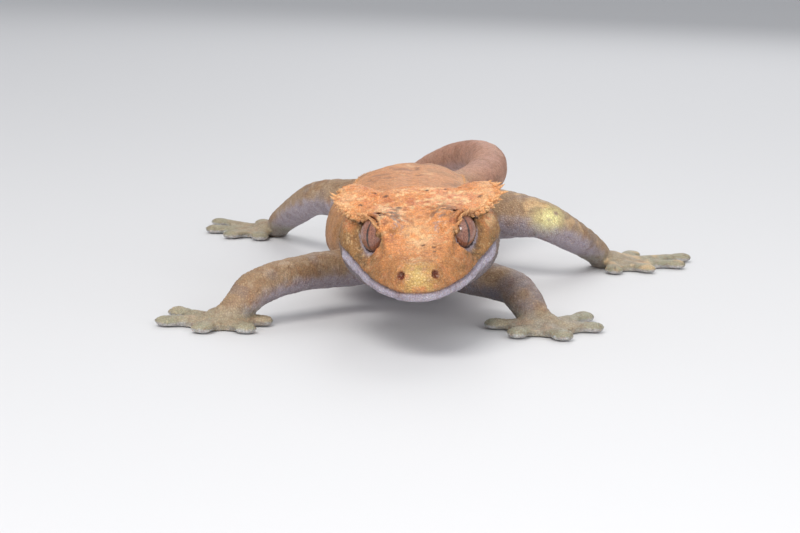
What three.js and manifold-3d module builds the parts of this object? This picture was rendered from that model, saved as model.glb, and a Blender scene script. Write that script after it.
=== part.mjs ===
// A crested gecko at life size, walking towards the viewer with its head low and its tail arched.
//
// Millimetres, +Z up. The animal faces -Y, so its own left side is on +X. The origin is on the floor under
// the middle of its bounding box. Places are first written in a plan frame whose Y is the distance behind
// the tip of the snout, and the whole group is shifted at the end.

import * as THREE from "three";
import { mergeVertices } from "three/addons/utils/BufferGeometryUtils.js";
import Module from "manifold-3d";

const wasm = await Module();
wasm.setup();
const { Manifold, Mesh } = wasm;

// Sizes that drive the rest.
const GAP = 0.3; // free space between two neighbouring solids
const HEAD_SIDES = 26;
const TRUNK_SIDES = 14;
const LIMB_SIDES = 10;
const TOE_SIDES = 6;
const EYE_RADIUS = 3.45;
const EYE_CENTRE = [6.15, 17.0, 5.4]; // in the head's frame, for the side on +x
const EYE_AXIS = [0.81, -0.57, 0.14]; // the way that eye looks
const ORBIT_RIM = { radius: 3.0, thickness: 0.72, out: 1.75 }; // a ring round the eye, out along its axis
const EYE_OPENING = { radius: 2.85, flare: 4.1, depth: 3.2, out: 3.4 };
const BROW_DOME = { centre: [5.6, 18.0, 5.3], radii: [4.1, 4.9, 4.0] };
const NOSTRIL = { centre: [2.75, 1.45, 2.7], radii: [0.55, 0.65, 0.5] };
const EAR = { centre: [12.6, 27.6, 2.6], radii: [1.2, 0.75, 1.35] };
const PAD_WIDTH = 3.3; // a toe pad, across
const PAD_HEIGHT = 1.7;
const PAD_LENGTH = [3.3, 4.6]; // of a short toe and of a long one
const CLAW_LENGTH = 1.3;
const SPINE_LENGTH = 1.35; // the longest spines, at the rear corner of the head
const SPINE_ROOT = 0.5; // radius of their root
const LIP_HALF_THICKNESS = 0.6;
const LIP_HALF_HEIGHT = 0.75;
const LIP_SUNK = 0.25; // how far a lip's middle lies inside the jaw

const radians = THREE.MathUtils.degToRad;
const vec = (a) => new THREE.Vector3(a[0], a[1], a[2]);

// Repeatable random numbers from 0 to 1.
function seeded(seed) {
  let state = seed;
  return () => {
    state = (state * 1664525 + 1013904223) % 4294967296;
    return state / 4294967296;
  };
}

// Catmull-Rom interpolation of a table's rows at t, from 0 at the first row to rows.length - 1 at the last.
function between(rows, t) {
  const last = rows.length - 1;
  const i = Math.min(Math.floor(t), last - 1);
  const f = t - i;
  const a = rows[Math.max(i - 1, 0)];
  const b = rows[i];
  const c = rows[i + 1];
  const d = rows[Math.min(i + 2, last)];
  return b.map((_, k) => {
    const slope0 = (c[k] - a[k]) / 2;
    const slope1 = (d[k] - b[k]) / 2;
    const rise = c[k] - b[k];
    return (
      b[k] + f * (slope0 + f * (3 * rise - 2 * slope0 - slope1 + f * (slope0 + slope1 - 2 * rise)))
    );
  });
}

// The row of a table whose first column reaches x, by the same interpolation.
function rowAt(rows, x) {
  const last = rows.length - 1;
  let i = 0;
  while (i < last - 1 && rows[i + 1][0] < x) i += 1;
  const f = THREE.MathUtils.clamp((x - rows[i][0]) / (rows[i + 1][0] - rows[i][0]), 0, 1);
  return between(rows, i + f);
}

// One closed surface through rings of equal length, with a fan at each end around its pole.
function skinOver(rings, startPole, endPole) {
  const sides = rings[0].length;
  const points = [startPole, ...rings.flat(), endPole];
  const faces = [];
  const at = (ring, side) => 1 + ring * sides + (side % sides);
  for (let j = 0; j < sides; j += 1) {
    faces.push(0, at(0, j + 1), at(0, j));
    faces.push(points.length - 1, at(rings.length - 1, j), at(rings.length - 1, j + 1));
    for (let i = 0; i < rings.length - 1; i += 1) {
      faces.push(at(i, j), at(i, j + 1), at(i + 1, j + 1));
      faces.push(at(i, j), at(i + 1, j + 1), at(i + 1, j));
    }
  }
  const geometry = new THREE.BufferGeometry();
  geometry.setAttribute("position", new THREE.Float32BufferAttribute(points.flatMap((p) => p.toArray()), 3));
  geometry.setIndex(faces);
  return geometry;
}

// A superellipse section: half-width w, height up above its middle and down below it.
function section(angle, w, up, down, power) {
  const c = Math.cos(angle);
  const s = Math.sin(angle);
  const round = (v) => Math.sign(v) * Math.abs(v) ** (2 / power);
  return [w * round(c), (s > 0 ? up : down) * round(s)];
}

// A tapering tube along a table of [x, y, z, half-width, up, down], with domed or flat ends.
function tube(rows, { sides, step, power = 2, grow = 0, domes = [0, 0] }) {
  const stops = [];
  for (let i = 0; i < rows.length - 1; i += 1) {
    const run = vec(rows[i]).distanceTo(vec(rows[i + 1]));
    const count = Math.max(1, Math.round(run / step));
    for (let k = 0; k < count; k += 1) stops.push(i + k / count);
  }
  stops.push(rows.length - 1);
  const frames = stops.map((t) => {
    const row = between(rows, t);
    const ahead = vec(between(rows, Math.min(t + 0.05, rows.length - 1)));
    const behind = vec(between(rows, Math.max(t - 0.05, 0)));
    const tangent = ahead.sub(behind).normalize();
    const side = new THREE.Vector3().crossVectors(tangent, new THREE.Vector3(0, 0, 1)).normalize();
    const up = new THREE.Vector3().crossVectors(side, tangent);
    return { row, centre: vec(row), tangent, side, up };
  });
  const ring = ({ row, centre, side, up }, scale, shift) =>
    Array.from({ length: sides }, (_, j) => {
      const angle = (2 * Math.PI * j) / sides;
      const [a, b] = section(angle, row[3] + grow, row[4] + grow, (row[5] ?? row[4]) + grow, power);
      return centre.clone().add(shift).addScaledVector(side, a * scale).addScaledVector(up, b * scale);
    });
  const rings = [];
  const first = frames[0];
  const last = frames[frames.length - 1];
  const bulge = (frame, length, share) => frame.tangent.clone().multiplyScalar(length * share);
  const shares = [0.7];
  for (const share of domes[0] ? shares : []) {
    rings.push(ring(first, Math.sqrt(1 - share * share), bulge(first, -domes[0], share)));
  }
  for (const frame of frames) rings.push(ring(frame, 1, new THREE.Vector3()));
  for (const share of domes[1] ? [...shares].reverse() : []) {
    rings.push(ring(last, Math.sqrt(1 - share * share), bulge(last, domes[1], share)));
  }
  const start = first.centre.clone().add(bulge(first, -domes[0], 1));
  const end = last.centre.clone().add(bulge(last, domes[1], 1));
  return skinOver(rings, start, end);
}

// A closed geometry as a solid that can be joined and cut.
function solid(geometry, matrix = new THREE.Matrix4()) {
  const plain = new THREE.BufferGeometry();
  plain.setAttribute("position", geometry.getAttribute("position").clone());
  if (geometry.index) plain.setIndex(geometry.index.clone());
  plain.applyMatrix4(matrix);
  const merged = mergeVertices(plain, 1e-4);
  const vertProperties = merged.attributes.position.array;
  const triVerts = new Uint32Array(merged.index.array);
  const made = new Manifold(new Mesh({ numProp: 3, vertProperties, triVerts }));
  if (made.volume() > 0) return made;
  for (let i = 0; i < triVerts.length; i += 3) {
    [triVerts[i + 1], triVerts[i + 2]] = [triVerts[i + 2], triVerts[i + 1]];
  }
  return new Manifold(new Mesh({ numProp: 3, vertProperties, triVerts }));
}

function geometryOf(made) {
  const { vertProperties, triVerts } = made.getMesh();
  const geometry = new THREE.BufferGeometry();
  geometry.setAttribute("position", new THREE.BufferAttribute(vertProperties, 3));
  geometry.setIndex(new THREE.BufferAttribute(triVerts, 1));
  return geometry;
}

const joined = (solids) => solids.reduce((all, one) => all.add(one));
const largest = (made) =>
  made.decompose().reduce((best, one) => (one.volume() > best.volume() ? one : best));

// A matrix that puts an object's +Z along a direction, at a place.
function aimed(place, direction, scale = [1, 1, 1]) {
  const turn = new THREE.Quaternion().setFromUnitVectors(
    new THREE.Vector3(0, 0, 1),
    vec(direction).normalize(),
  );
  return new THREE.Matrix4().compose(vec(place), turn, vec(scale));
}

function ellipsoid(centre, radii, across = 16, down = 10) {
  const matrix = new THREE.Matrix4().makeTranslation(...centre).scale(vec(radii));
  return solid(new THREE.SphereGeometry(1, across, down), matrix);
}

// A thin slab across a tube, which parts it there.
function slab(place, normal, size) {
  return solid(new THREE.BoxGeometry(size, size, GAP), aimed(place, normal));
}

// A pointed, slightly bent spine whose root is sunk in what it grows from.
function spine(root, direction, length, radius, bend) {
  const way = vec(direction).normalize();
  const sunk = vec(root).addScaledVector(way, -radius);
  const tip = vec(root).addScaledVector(way, length).add(vec(bend).multiplyScalar(length));
  const middle = vec(root).addScaledVector(way, length * 0.45).add(vec(bend).multiplyScalar(length * 0.2));
  const side = new THREE.Vector3().crossVectors(way, new THREE.Vector3(0, 0.3, 1)).normalize();
  const other = new THREE.Vector3().crossVectors(side, way);
  const ring = (centre, r) =>
    Array.from({ length: 4 }, (_, j) => {
      const angle = (Math.PI * j) / 2;
      return centre
        .clone()
        .addScaledVector(side, r * Math.cos(angle))
        .addScaledVector(other, r * Math.sin(angle));
    });
  return solid(skinOver([ring(sunk, radius), ring(middle, radius * 0.6)], sunk, tip));
}

// The head, in its own frame: y runs back from the tip of the snout, z up from the front of the mouth line.
// Columns: y, half-width, height of the widest level, top and bottom on the middle line, section power.
const HEAD_PROFILE = [
  [0.0, 0.9, 0.9, 1.7, 0.1, 2.0],
  [0.35, 2.3, 0.6, 2.7, -0.7, 2.1],
  [1.2, 3.5, 0.4, 3.6, -1.4, 2.2],
  [2.8, 4.8, 0.3, 4.3, -2.0, 2.25],
  [7.0, 7.1, 0.3, 5.3, -3.0, 2.25],
  [11.0, 8.8, 0.5, 6.3, -4.0, 2.2],
  [15.0, 10.2, 0.9, 7.5, -5.0, 2.2],
  [20.0, 12.4, 1.6, 8.9, -6.3, 2.25],
  [24.0, 13.6, 2.2, 9.7, -7.4, 2.3],
  [27.0, 13.4, 2.4, 10.0, -8.2, 2.3],
  [30.0, 12.3, 2.2, 9.8, -8.8, 2.25],
  [34.0, 10.6, 1.4, 8.6, -9.0, 2.2],
  [39.0, 9.9, 0.6, 7.0, -9.0, 2.2],
];
const HEAD_RINGS = [
  0.15, 0.6, 1.3, 2.4, 4, 6.2, 8.8, 11.4, 14, 16.8, 19.6, 22.2, 24.6, 27, 29.5, 32.4, 35.5, 39,
];
const HEAD_PLACE = [3.2, 0.4, 10.9];
const HEAD_TURN = new THREE.Euler(radians(8), radians(-4.7), radians(-1), "ZYX");
const HEAD_MATRIX = new THREE.Matrix4().compose(
  vec(HEAD_PLACE),
  new THREE.Quaternion().setFromEuler(HEAD_TURN),
  vec([1, 1, 1]),
);

// Each side's crest runs from over the eye out to the rear corner of the head, then in along the neck.
// Columns: x, y, z, half-width of the blade, half-thickness.
const HEAD_CREST = [
  [6.0, 12.6, 7.1, 1.3, 0.6],
  [6.9, 15.2, 7.9, 1.8, 0.75],
  [8.0, 18.6, 8.2, 2.4, 0.95],
  [9.5, 22.4, 8.4, 3.0, 1.2],
  [10.5, 25.6, 8.9, 3.4, 1.3],
  [10.3, 28.6, 9.4, 3.2, 1.2],
  [9.2, 31.6, 9.2, 2.7, 1.0],
  [8.2, 35.0, 8.0, 1.9, 0.8],
  [7.6, 38.5, 6.2, 1.4, 0.7],
];

// The edge between the upper and the lower jaw: y and z on the mouth line, out to its corner.
const MOUTH_LINE = [
  [-3, 0.0],
  [3, 0.0],
  [9, 0.15],
  [14, 0.6],
  [18, 1.3],
  [20.8, 2.0],
];
const LIP_STOPS = [19.4, 16, 12, 8, 4.8, 2.4, 1.0]; // y of a lip's stations
const JAW_HINGE = [22.0, 0.8]; // behind the corner, where the jaw's edge turns down
const JAW_BACK = [24.6, -12];

const mirrored = (p, side) => [p[0] * side, p[1], p[2]];

function headSurface(y) {
  const [, w, zw, zt, zb, power] = rowAt(HEAD_PROFILE, y);
  return { w, zw, zt, zb, power };
}

function headShell() {
  const rings = HEAD_RINGS.map((y) => {
    const { w, zw, zt, zb, power } = headSurface(y);
    return Array.from({ length: HEAD_SIDES }, (_, j) => {
      const [a, b] = section((2 * Math.PI * j) / HEAD_SIDES, w, zt - zw, zw - zb, power);
      return new THREE.Vector3(a, y, zw + b);
    });
  });
  const end = HEAD_RINGS[HEAD_RINGS.length - 1];
  return solid(skinOver(rings, new THREE.Vector3(0, 0, 0.9), new THREE.Vector3(0, end, -1)));
}

// A rounded lip along one jaw, from one corner of the mouth round the snout to the other.
function lip(rise) {
  const spot = (y, side) => {
    const { w, zw, zt, zb, power } = headSurface(y);
    const z = rowAt(MOUTH_LINE, y)[1] + rise;
    const share = Math.abs(z - zw) / (z > zw ? zt - zw : zw - zb);
    const x = w * (1 - share ** power) ** (1 / power) - LIP_SUNK;
    return [side * x, y, z, LIP_HALF_THICKNESS, LIP_HALF_HEIGHT];
  };
  const front = [0, LIP_SUNK, MOUTH_LINE[0][1] + rise, LIP_HALF_THICKNESS, LIP_HALF_HEIGHT];
  const right = LIP_STOPS.map((y) => spot(y, -1));
  const left = LIP_STOPS.map((y) => spot(y, 1)).reverse();
  return solid(tube([...right, front, ...left], { sides: 6, step: 4, domes: [0.8, 0.8] }));
}

// Spines stand along the outer edge of the crest, longest at the rear corner.
function crestSpines(side, random) {
  const made = [];
  const count = 15;
  for (let k = 0; k < count; k += 1) {
    const share = k / (count - 1);
    const t = 1.1 + share * (HEAD_CREST.length - 2.1);
    const [x, y, z, w] = between(HEAD_CREST, t);
    const next = between(HEAD_CREST, Math.min(t + 0.1, HEAD_CREST.length - 1));
    const along = new THREE.Vector3(next[0] - x, next[1] - y, 0).normalize();
    const out = [along.y * side, -along.x, 0.1 + 0.25 * random()];
    const size = 0.55 + 0.45 * Math.sin(Math.PI * Math.min(1, share * 1.45)) + 0.15 * random();
    const edge = w - 0.45;
    const root = [(x + along.y * edge) * side, y - along.x * edge, z];
    made.push(spine(root, out, SPINE_LENGTH * size, SPINE_ROOT, [0, 0.35, 0.1]));
  }
  return made;
}

// The lash spines stand over the front half of the eye.
function lashes(side, random) {
  const made = [];
  const count = 5;
  for (let k = 0; k < count; k += 1) {
    const share = k / (count - 1);
    const root = [(6.5 + 2.5 * share) * side, 13.4 + 4.6 * share, 7.5 + 1.1 * share];
    const out = [(0.55 + 0.3 * share) * side, -0.5 + 0.5 * share, 0.75];
    made.push(spine(root, out, 1.0 + 0.3 * random(), 0.38, [0, 0.1, 0.1]));
  }
  return made;
}

function wholeHead() {
  const random = seeded(11);
  const parts = [headShell(), lip(GAP + 0.8), lip(-0.85)];
  const sockets = [];
  for (const side of [-1, 1]) {
    const eye = mirrored(EYE_CENTRE, side);
    const axis = mirrored(EYE_AXIS, side);
    const outward = (distance) => vec(eye).addScaledVector(vec(axis).normalize(), distance).toArray();
    const rim = new THREE.TorusGeometry(ORBIT_RIM.radius, ORBIT_RIM.thickness, 5, 14);
    parts.push(ellipsoid(mirrored(BROW_DOME.centre, side), BROW_DOME.radii, 12, 7));
    parts.push(solid(rim, aimed(outward(ORBIT_RIM.out), axis)));
    const blade = HEAD_CREST.map(([x, y, z, w, h]) => [x * side, y, z, w, h]);
    parts.push(solid(tube(blade, { sides: 6, step: 2.6, power: 1.7 })));
    parts.push(...crestSpines(side, random), ...lashes(side, random));
    const socket = EYE_RADIUS + GAP;
    sockets.push(ellipsoid(eye, [socket, socket, socket], 14, 8));
    const { radius, flare, depth, out } = EYE_OPENING;
    const funnel = new THREE.CylinderGeometry(flare, radius, depth, 14).rotateX(Math.PI / 2);
    sockets.push(solid(funnel, aimed(outward(out), axis)));
    sockets.push(ellipsoid(mirrored(NOSTRIL.centre, side), NOSTRIL.radii, 8, 6));
    sockets.push(ellipsoid(mirrored(EAR.centre, side), EAR.radii, 8, 6));
  }
  return joined(parts).subtract(joined(sockets));
}

// The region below the mouth line and in front of the jaw's hinge, as a prism across the head.
function jawRegion(margin) {
  const outline = new THREE.Shape();
  const back = margin * 0.9;
  outline.moveTo(-6, -16);
  outline.lineTo(-6, MOUTH_LINE[0][1] + margin);
  for (const [y, z] of MOUTH_LINE) outline.lineTo(y, z + margin);
  outline.lineTo(JAW_HINGE[0] + back, JAW_HINGE[1]);
  outline.lineTo(JAW_BACK[0] + back, JAW_BACK[1]);
  outline.lineTo(JAW_BACK[0] + back, -16);
  const across = new THREE.ExtrudeGeometry(outline, { depth: 40, bevelEnabled: false, steps: 1 });
  // The outline's x is the head's y, its y the head's z, and the extrusion runs across the head.
  const matrix = new THREE.Matrix4().set(0, 0, 1, -20, 1, 0, 0, 0, 0, 1, 0, 0, 0, 0, 0, 1);
  return across.applyMatrix4(matrix);
}

// Neck, body and tail in one line. The tail arches up, swings over to one side and comes down to the floor.
// Columns: x, y, z, half-width, height above that line and below it.
const SPINE_LINE = [
  [2.9, 29.0, 16.2, 10.8, 8.2, 8.6],
  [2.8, 35.5, 15.0, 9.9, 8.4, 8.2],
  [2.4, 42.0, 13.6, 10.6, 8.9, 8.2],
  [1.6, 49.0, 12.6, 12.9, 9.8, 8.2],
  [1.2, 58.0, 12.0, 15.1, 10.8, 8.4],
  [1.6, 68.0, 11.8, 15.3, 11.4, 8.4],
  [2.4, 78.0, 11.8, 14.2, 11.4, 8.3],
  [3.6, 88.0, 11.8, 11.8, 10.6, 7.8],
  [5.2, 97.0, 11.8, 9.6, 8.9, 7.0],
  [7.6, 105.0, 12.0, 7.4, 6.9, 5.8],
  [11.0, 112.5, 12.8, 5.4, 5.2, 4.7],
  [14.6, 120.0, 14.0, 4.7, 4.5, 4.3],
  [17.6, 128.5, 15.6, 4.3, 4.1, 4.0],
  [18.6, 137.5, 17.2, 4.1, 3.9, 3.8],
  [16.8, 147.0, 17.8, 3.8, 3.6, 3.5],
  [13.0, 156.0, 16.8, 3.5, 3.3, 3.2],
  [8.4, 164.0, 14.2, 3.2, 3.0, 2.9],
  [3.8, 171.5, 10.6, 2.9, 2.7, 2.6],
  [-0.6, 178.5, 6.9, 2.5, 2.3, 2.2],
  [-5.6, 184.0, 3.6, 2.4, 1.8, 1.9],
  [-11.2, 187.5, 1.7, 2.6, 1.3, 1.9],
  [-16.4, 188.5, 1.1, 2.5, 1.0, 1.3],
];

// The body's crest rows run along each side of the back, this share of the half-width out.
const CREST_OUT = 0.66;
const TRUNK_POWER = 2.15; // of the trunk's superellipse section
const CREST_ROWS = { from: 1.2, to: 8.2, count: 22 };

function bodySpines(random) {
  const made = [];
  for (const side of [-1, 1]) {
    for (let k = 0; k < CREST_ROWS.count; k += 1) {
      const share = k / (CREST_ROWS.count - 1);
      const t = CREST_ROWS.from + share * (CREST_ROWS.to - CREST_ROWS.from);
      const row = between(SPINE_LINE, t);
      const rise = row[4] * (1 - CREST_OUT ** TRUNK_POWER) ** (1 / TRUNK_POWER);
      const root = [row[0] + side * row[3] * CREST_OUT, row[1], row[2] + rise];
      const size = (1 - 0.6 * share) * (0.8 + 0.35 * random());
      made.push(spine(root, [0.75 * side, 0.25, 0.75], SPINE_LENGTH * size, 0.46, [0, 0.3, 0]));
    }
  }
  return made;
}

// A limb is a tube down to the wrist or ankle, a flat palm, and five toes with pads and claws.
// spots: [x, y, z, radius]; palm: [x, y, half-width]; toes: where each tip touches the floor.
const LIMBS = {
  right_arm: {
    spots: [
      [-1.0, 46.5, 9.5, 3.7],
      [-9.0, 44.0, 8.0, 3.5],
      [-14.8, 38.8, 8.0, 3.2],
      [-20.8, 32.4, 7.5, 3.1],
      [-24.9, 28.6, 6.0, 3.2],
      [-27.2, 26.4, 3.8, 2.8],
      [-28.6, 25.6, 2.3, 2.4],
    ],
    parts: ["upper_arm_right", "forearm_right", "hand_right"],
    joints: [3, 5],
    palm: [-29.8, 25.8, 3.6],
    toes: [[-22.2, 27.0], [-25.2, 18.4], [-33.6, 17.2], [-41.4, 23.2], [-39.8, 33.6]],
    digit: "toe_front_right",
  },
  left_arm: {
    spots: [
      [5.0, 46.5, 9.5, 3.7],
      [11.6, 45.0, 7.2, 3.4],
      [16.4, 43.2, 6.5, 3.2],
      [20.2, 39.6, 5.9, 3.1],
      [22.0, 36.4, 4.5, 3.1],
      [23.2, 33.2, 3.2, 2.8],
      [23.9, 31.6, 2.3, 2.4],
    ],
    parts: ["upper_arm_left", "forearm_left", "hand_left"],
    joints: [3, 5],
    palm: [24.8, 30.4, 3.7],
    toes: [[15.6, 31.2], [19.6, 21.8], [28.6, 20.9], [35.6, 31.0], [34.2, 42.4]],
    digit: "toe_front_left",
  },
  right_leg: {
    spots: [
      [2.0, 98.0, 11.2, 5.6],
      [-5.0, 103.0, 11.4, 5.2],
      [-11.6, 108.6, 11.9, 4.3],
      [-17.4, 113.8, 11.5, 3.5],
      [-21.6, 121.0, 8.4, 3.2],
      [-25.2, 130.0, 4.8, 2.8],
      [-26.8, 133.6, 2.8, 2.5],
    ],
    parts: ["thigh_right", "shank_right", "foot_right"],
    joints: [3, 5],
    palm: [-28.8, 136.4, 3.8],
    toes: [[-31.0, 126.2], [-38.2, 128.0], [-43.0, 136.6], [-42.4, 149.6], [-31.6, 150.4]],
    digit: "toe_hind_right",
  },
  left_leg: {
    spots: [
      [7.5, 97.5, 11.2, 5.7],
      [14.4, 96.6, 11.5, 5.5],
      [21.4, 93.2, 11.9, 4.8],
      [27.6, 90.2, 11.7, 3.8],
      [33.2, 94.4, 8.6, 3.4],
      [38.4, 101.4, 5.0, 2.8],
      [40.8, 104.6, 2.9, 2.5],
    ],
    parts: ["thigh_left", "shank_left", "foot_left"],
    joints: [3, 5],
    palm: [43.4, 106.6, 3.9],
    toes: [[43.6, 95.2], [51.8, 98.8], [59.2, 107.0], [61.2, 118.0], [50.0, 120.6]],
    digit: "toe_hind_left",
  },
};
const PALM_LEVEL = 1.15; // height of a palm's middle
const PALM_HEIGHT = 2.1; // from there to its top
const PALM_SPREAD = 1.05; // of its radius over the half-width in the table
const TOE_CUT = [3.6, 4.6]; // the slab across a toe's base
const TOE_CUT_OUT = [1.3, 0.4, 0.4, 0.4, 0.4]; // from the palm's edge to that slab, for each toe
const LIMB_CUT = 13; // the slab across an elbow, knee, wrist or ankle

// A toe: narrow from the palm, then a broad flat pad with a small claw over its end.
function toe(palm, tip, reach, cutOut, grow = 0) {
  const way = new THREE.Vector3(tip[0] - palm[0], tip[1] - palm[1], 0);
  const length = way.length();
  way.normalize();
  const at = (distance, z, w, up, down) => [
    palm[0] + way.x * distance,
    palm[1] + way.y * distance,
    z,
    w,
    up,
    down,
  ];
  const half = PAD_WIDTH / 2;
  const pad = THREE.MathUtils.clamp((length - reach) * 0.62, ...PAD_LENGTH);
  const rows = [
    at(reach * 0.8, 1.35, 1.15, 0.9, 1.0),
    at(length - pad, 1.2, 1.1, 0.85, 1.0),
    at(length - pad * 0.62, 0.95, half * 0.95, PAD_HEIGHT * 0.55, 1.1),
    at(length - pad * 0.28, 0.85, half, PAD_HEIGHT * 0.5, 1.1),
    at(length - 0.75, 0.75, half * 0.72, PAD_HEIGHT * 0.42, 0.9),
  ];
  const body = solid(tube(rows, { sides: TOE_SIDES, step: 2.4, power: 2.2, grow, domes: [0, 0.6] }));
  const clawRoot = at(length - 1.2, 1.15, 0, 0, 0);
  const claw = spine(clawRoot, [way.x, way.y, 0.12], CLAW_LENGTH, 0.42, [0, 0, -0.45]);
  const cutPlace = at(reach + cutOut, 1, 0, 0, 0);
  return { shape: body.add(claw), cutPlace, way, middle: at(length - pad * 0.4, 0.8, 0, 0, 0) };
}

const floorBox = solid(new THREE.BoxGeometry(300, 500, 20), new THREE.Matrix4().makeTranslation(0, 100, -10));

// The piece of a parted solid that holds a point, for each name.
function named(parted, wanted) {
  const pieces = parted.decompose();
  return wanted.map(({ name, near }) => {
    const probe = ellipsoid(near.slice(0, 3), [0.4, 0.4, 0.4], 8, 6);
    const shares = pieces.map((piece) => piece.intersect(probe).volume());
    const best = shares.indexOf(Math.max(...shares));
    if (!(shares[best] > 0)) throw new Error(`no piece at ${name}`);
    return { name, made: pieces[best] };
  });
}

// A limb's nodes, from the shoulder or hip down. The hand or foot takes in the limb's last stretch.
function limb(name) {
  const { spots, parts, joints, palm, toes, digit } = LIMBS[name];
  const rows = spots.map(([x, y, z, r]) => [x, y, z, r, r]);
  const cuts = joints.map((i) => {
    const before = vec(spots[i - 1]);
    const after = vec(spots[i + 1]);
    return slab(spots[i].slice(0, 3), after.sub(before).toArray(), LIMB_CUT);
  });
  const arm = solid(tube(rows, { sides: LIMB_SIDES, step: 3.6, domes: [0, 1.6] })).subtract(joined(cuts));
  const [upper, middle, end] = named(arm, [
    { name: parts[0], near: spots[2] },
    { name: parts[1], near: spots[joints[0] + 1] },
    { name: parts[2], near: spots[spots.length - 1] },
  ]);
  const [px, py, pw] = palm;
  const reach = pw * PALM_SPREAD;
  const pad = (grow) =>
    ellipsoid([px, py, PALM_LEVEL], [reach + grow, reach + grow, PALM_HEIGHT + grow], 12, 5);
  const made = toes.map((tip, i) => toe(palm, tip, reach, TOE_CUT_OUT[i]));
  const toeCuts = made.map(({ cutPlace, way }) => {
    const across = new THREE.BoxGeometry(TOE_CUT[0], TOE_CUT[1], GAP);
    return solid(across, aimed(cutPlace, way.toArray()));
  });
  const hand = joined([end.made, pad(0), ...made.map((t) => t.shape)]).subtract(floorBox);
  const around = joined([pad(GAP), ...toes.map((tip) => toe(palm, tip, reach, 0, GAP).shape)]);
  middle.made = largest(middle.made.subtract(around).subtract(floorBox));
  return [
    upper,
    middle,
    ...named(hand.subtract(joined(toeCuts)), [
      { name: parts[2], near: [px, py, 0.8] },
      ...made.map((t, i) => ({ name: `${digit}_${i + 1}`, near: t.middle })),
    ]),
  ];
}

// Where the line of the spine is parted, as a place in its rows, and the names from the neck back.
const SPINE_CUTS = [1.05, 3.0, 5.3, 7.5, 9.6, 12.0, 14.2, 16.4, 18.6];
const TRUNK_NAMES = ["head", "neck", "chest", "belly", "pelvis"];
const TAIL_NAMES = ["tail_1", "tail_2", "tail_3", "tail_4", "tail_5"];
const SPINE_CUT_SIZE = [44, 16]; // of a slab across the trunk, and across the tail

function body() {
  const random = seeded(5);
  const shape = { sides: TRUNK_SIDES, step: 4.8, power: TRUNK_POWER, domes: [0, 1.5] };
  const trunk = solid(tube(SPINE_LINE, shape));
  const clear = solid(tube(SPINE_LINE, { ...shape, grow: GAP }));
  const head = solid(geometryOf(wholeHead()), HEAD_MATRIX);
  const jaw = largest(head.intersect(solid(jawRegion(0), HEAD_MATRIX)));
  const upper = head.subtract(solid(jawRegion(GAP), HEAD_MATRIX));
  const cuts = SPINE_CUTS.map((t) => {
    const ahead = vec(between(SPINE_LINE, t + 0.05));
    const behind = vec(between(SPINE_LINE, t - 0.05));
    const size = SPINE_CUT_SIZE[t < 9 ? 0 : 1];
    return slab(between(SPINE_LINE, t).slice(0, 3), ahead.sub(behind).toArray(), size);
  });
  const parted = joined([upper, trunk, ...bodySpines(random)]).subtract(floorBox).subtract(joined(cuts));
  const stops = [0, ...SPINE_CUTS, SPINE_LINE.length - 1];
  const wanted = [...TRUNK_NAMES, ...TAIL_NAMES].map((name, i) => ({
    name,
    near: between(SPINE_LINE, (stops[i] + stops[i + 1]) / 2),
  }));
  return { pieces: [...named(parted, wanted), { name: "jaw", made: jaw }], clear };
}

const COLOURS = {
  head: 0xd08a52,
  jaw: 0x9c948c,
  eye: 0x5a2f1c,
  neck: 0xc07c48,
  chest: 0xbd7a48,
  belly: 0xb87647,
  pelvis: 0xb07048,
  tail: 0xa97a5c,
  upper: 0xb07c52,
  forearm: 0xa8845f,
  hand: 0xa89a80,
  thigh: 0xb3875c,
  shank: 0xab8762,
  foot: 0xa89a80,
  toe: 0xb4aa8c,
};
const SKIN_ROUGHNESS = 0.55;
const EYE_ROUGHNESS = 0.12;

function meshOf(name, made) {
  const colour = COLOURS[name.split("_")[0]];
  const roughness = name.startsWith("eye") ? EYE_ROUGHNESS : SKIN_ROUGHNESS;
  const material = new THREE.MeshStandardMaterial({ color: colour, roughness, metalness: 0 });
  const mesh = new THREE.Mesh(geometryOf(made), material);
  mesh.name = name;
  return mesh;
}

function gecko() {
  const animal = new THREE.Group();
  const { pieces, clear } = body();
  for (const name of Object.keys(LIMBS)) {
    const [upper, ...rest] = limb(name);
    pieces.push({ name: upper.name, made: largest(upper.made.subtract(clear)) }, ...rest);
  }
  for (const side of [-1, 1]) {
    const ball = new THREE.SphereGeometry(EYE_RADIUS, 16, 10);
    const place = new THREE.Matrix4().makeTranslation(...mirrored(EYE_CENTRE, side));
    const made = solid(ball, HEAD_MATRIX.clone().multiply(place));
    pieces.push({ name: side < 0 ? "eye_right" : "eye_left", made });
  }
  for (const { name, made } of pieces) animal.add(meshOf(name, made));
  const box = new THREE.Box3().setFromObject(animal);
  const middle = box.getCenter(new THREE.Vector3());
  animal.position.set(-middle.x, -middle.y, -box.min.z);
  return animal;
}

export default gecko();
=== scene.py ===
"""A crested gecko at life size: one skin over its solids, with eyes, crest spines and claws.

The skin is the zero level of one smooth field, built from the same named places as the solids, in
millimetres in a plan frame whose Y is the distance behind the tip of the snout. It is meshed on a grid
that is finest round the head, and moved into the row frame by the place of the left eye.
"""

import bpy
import numpy as np
from mathutils import Matrix, Vector


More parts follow.
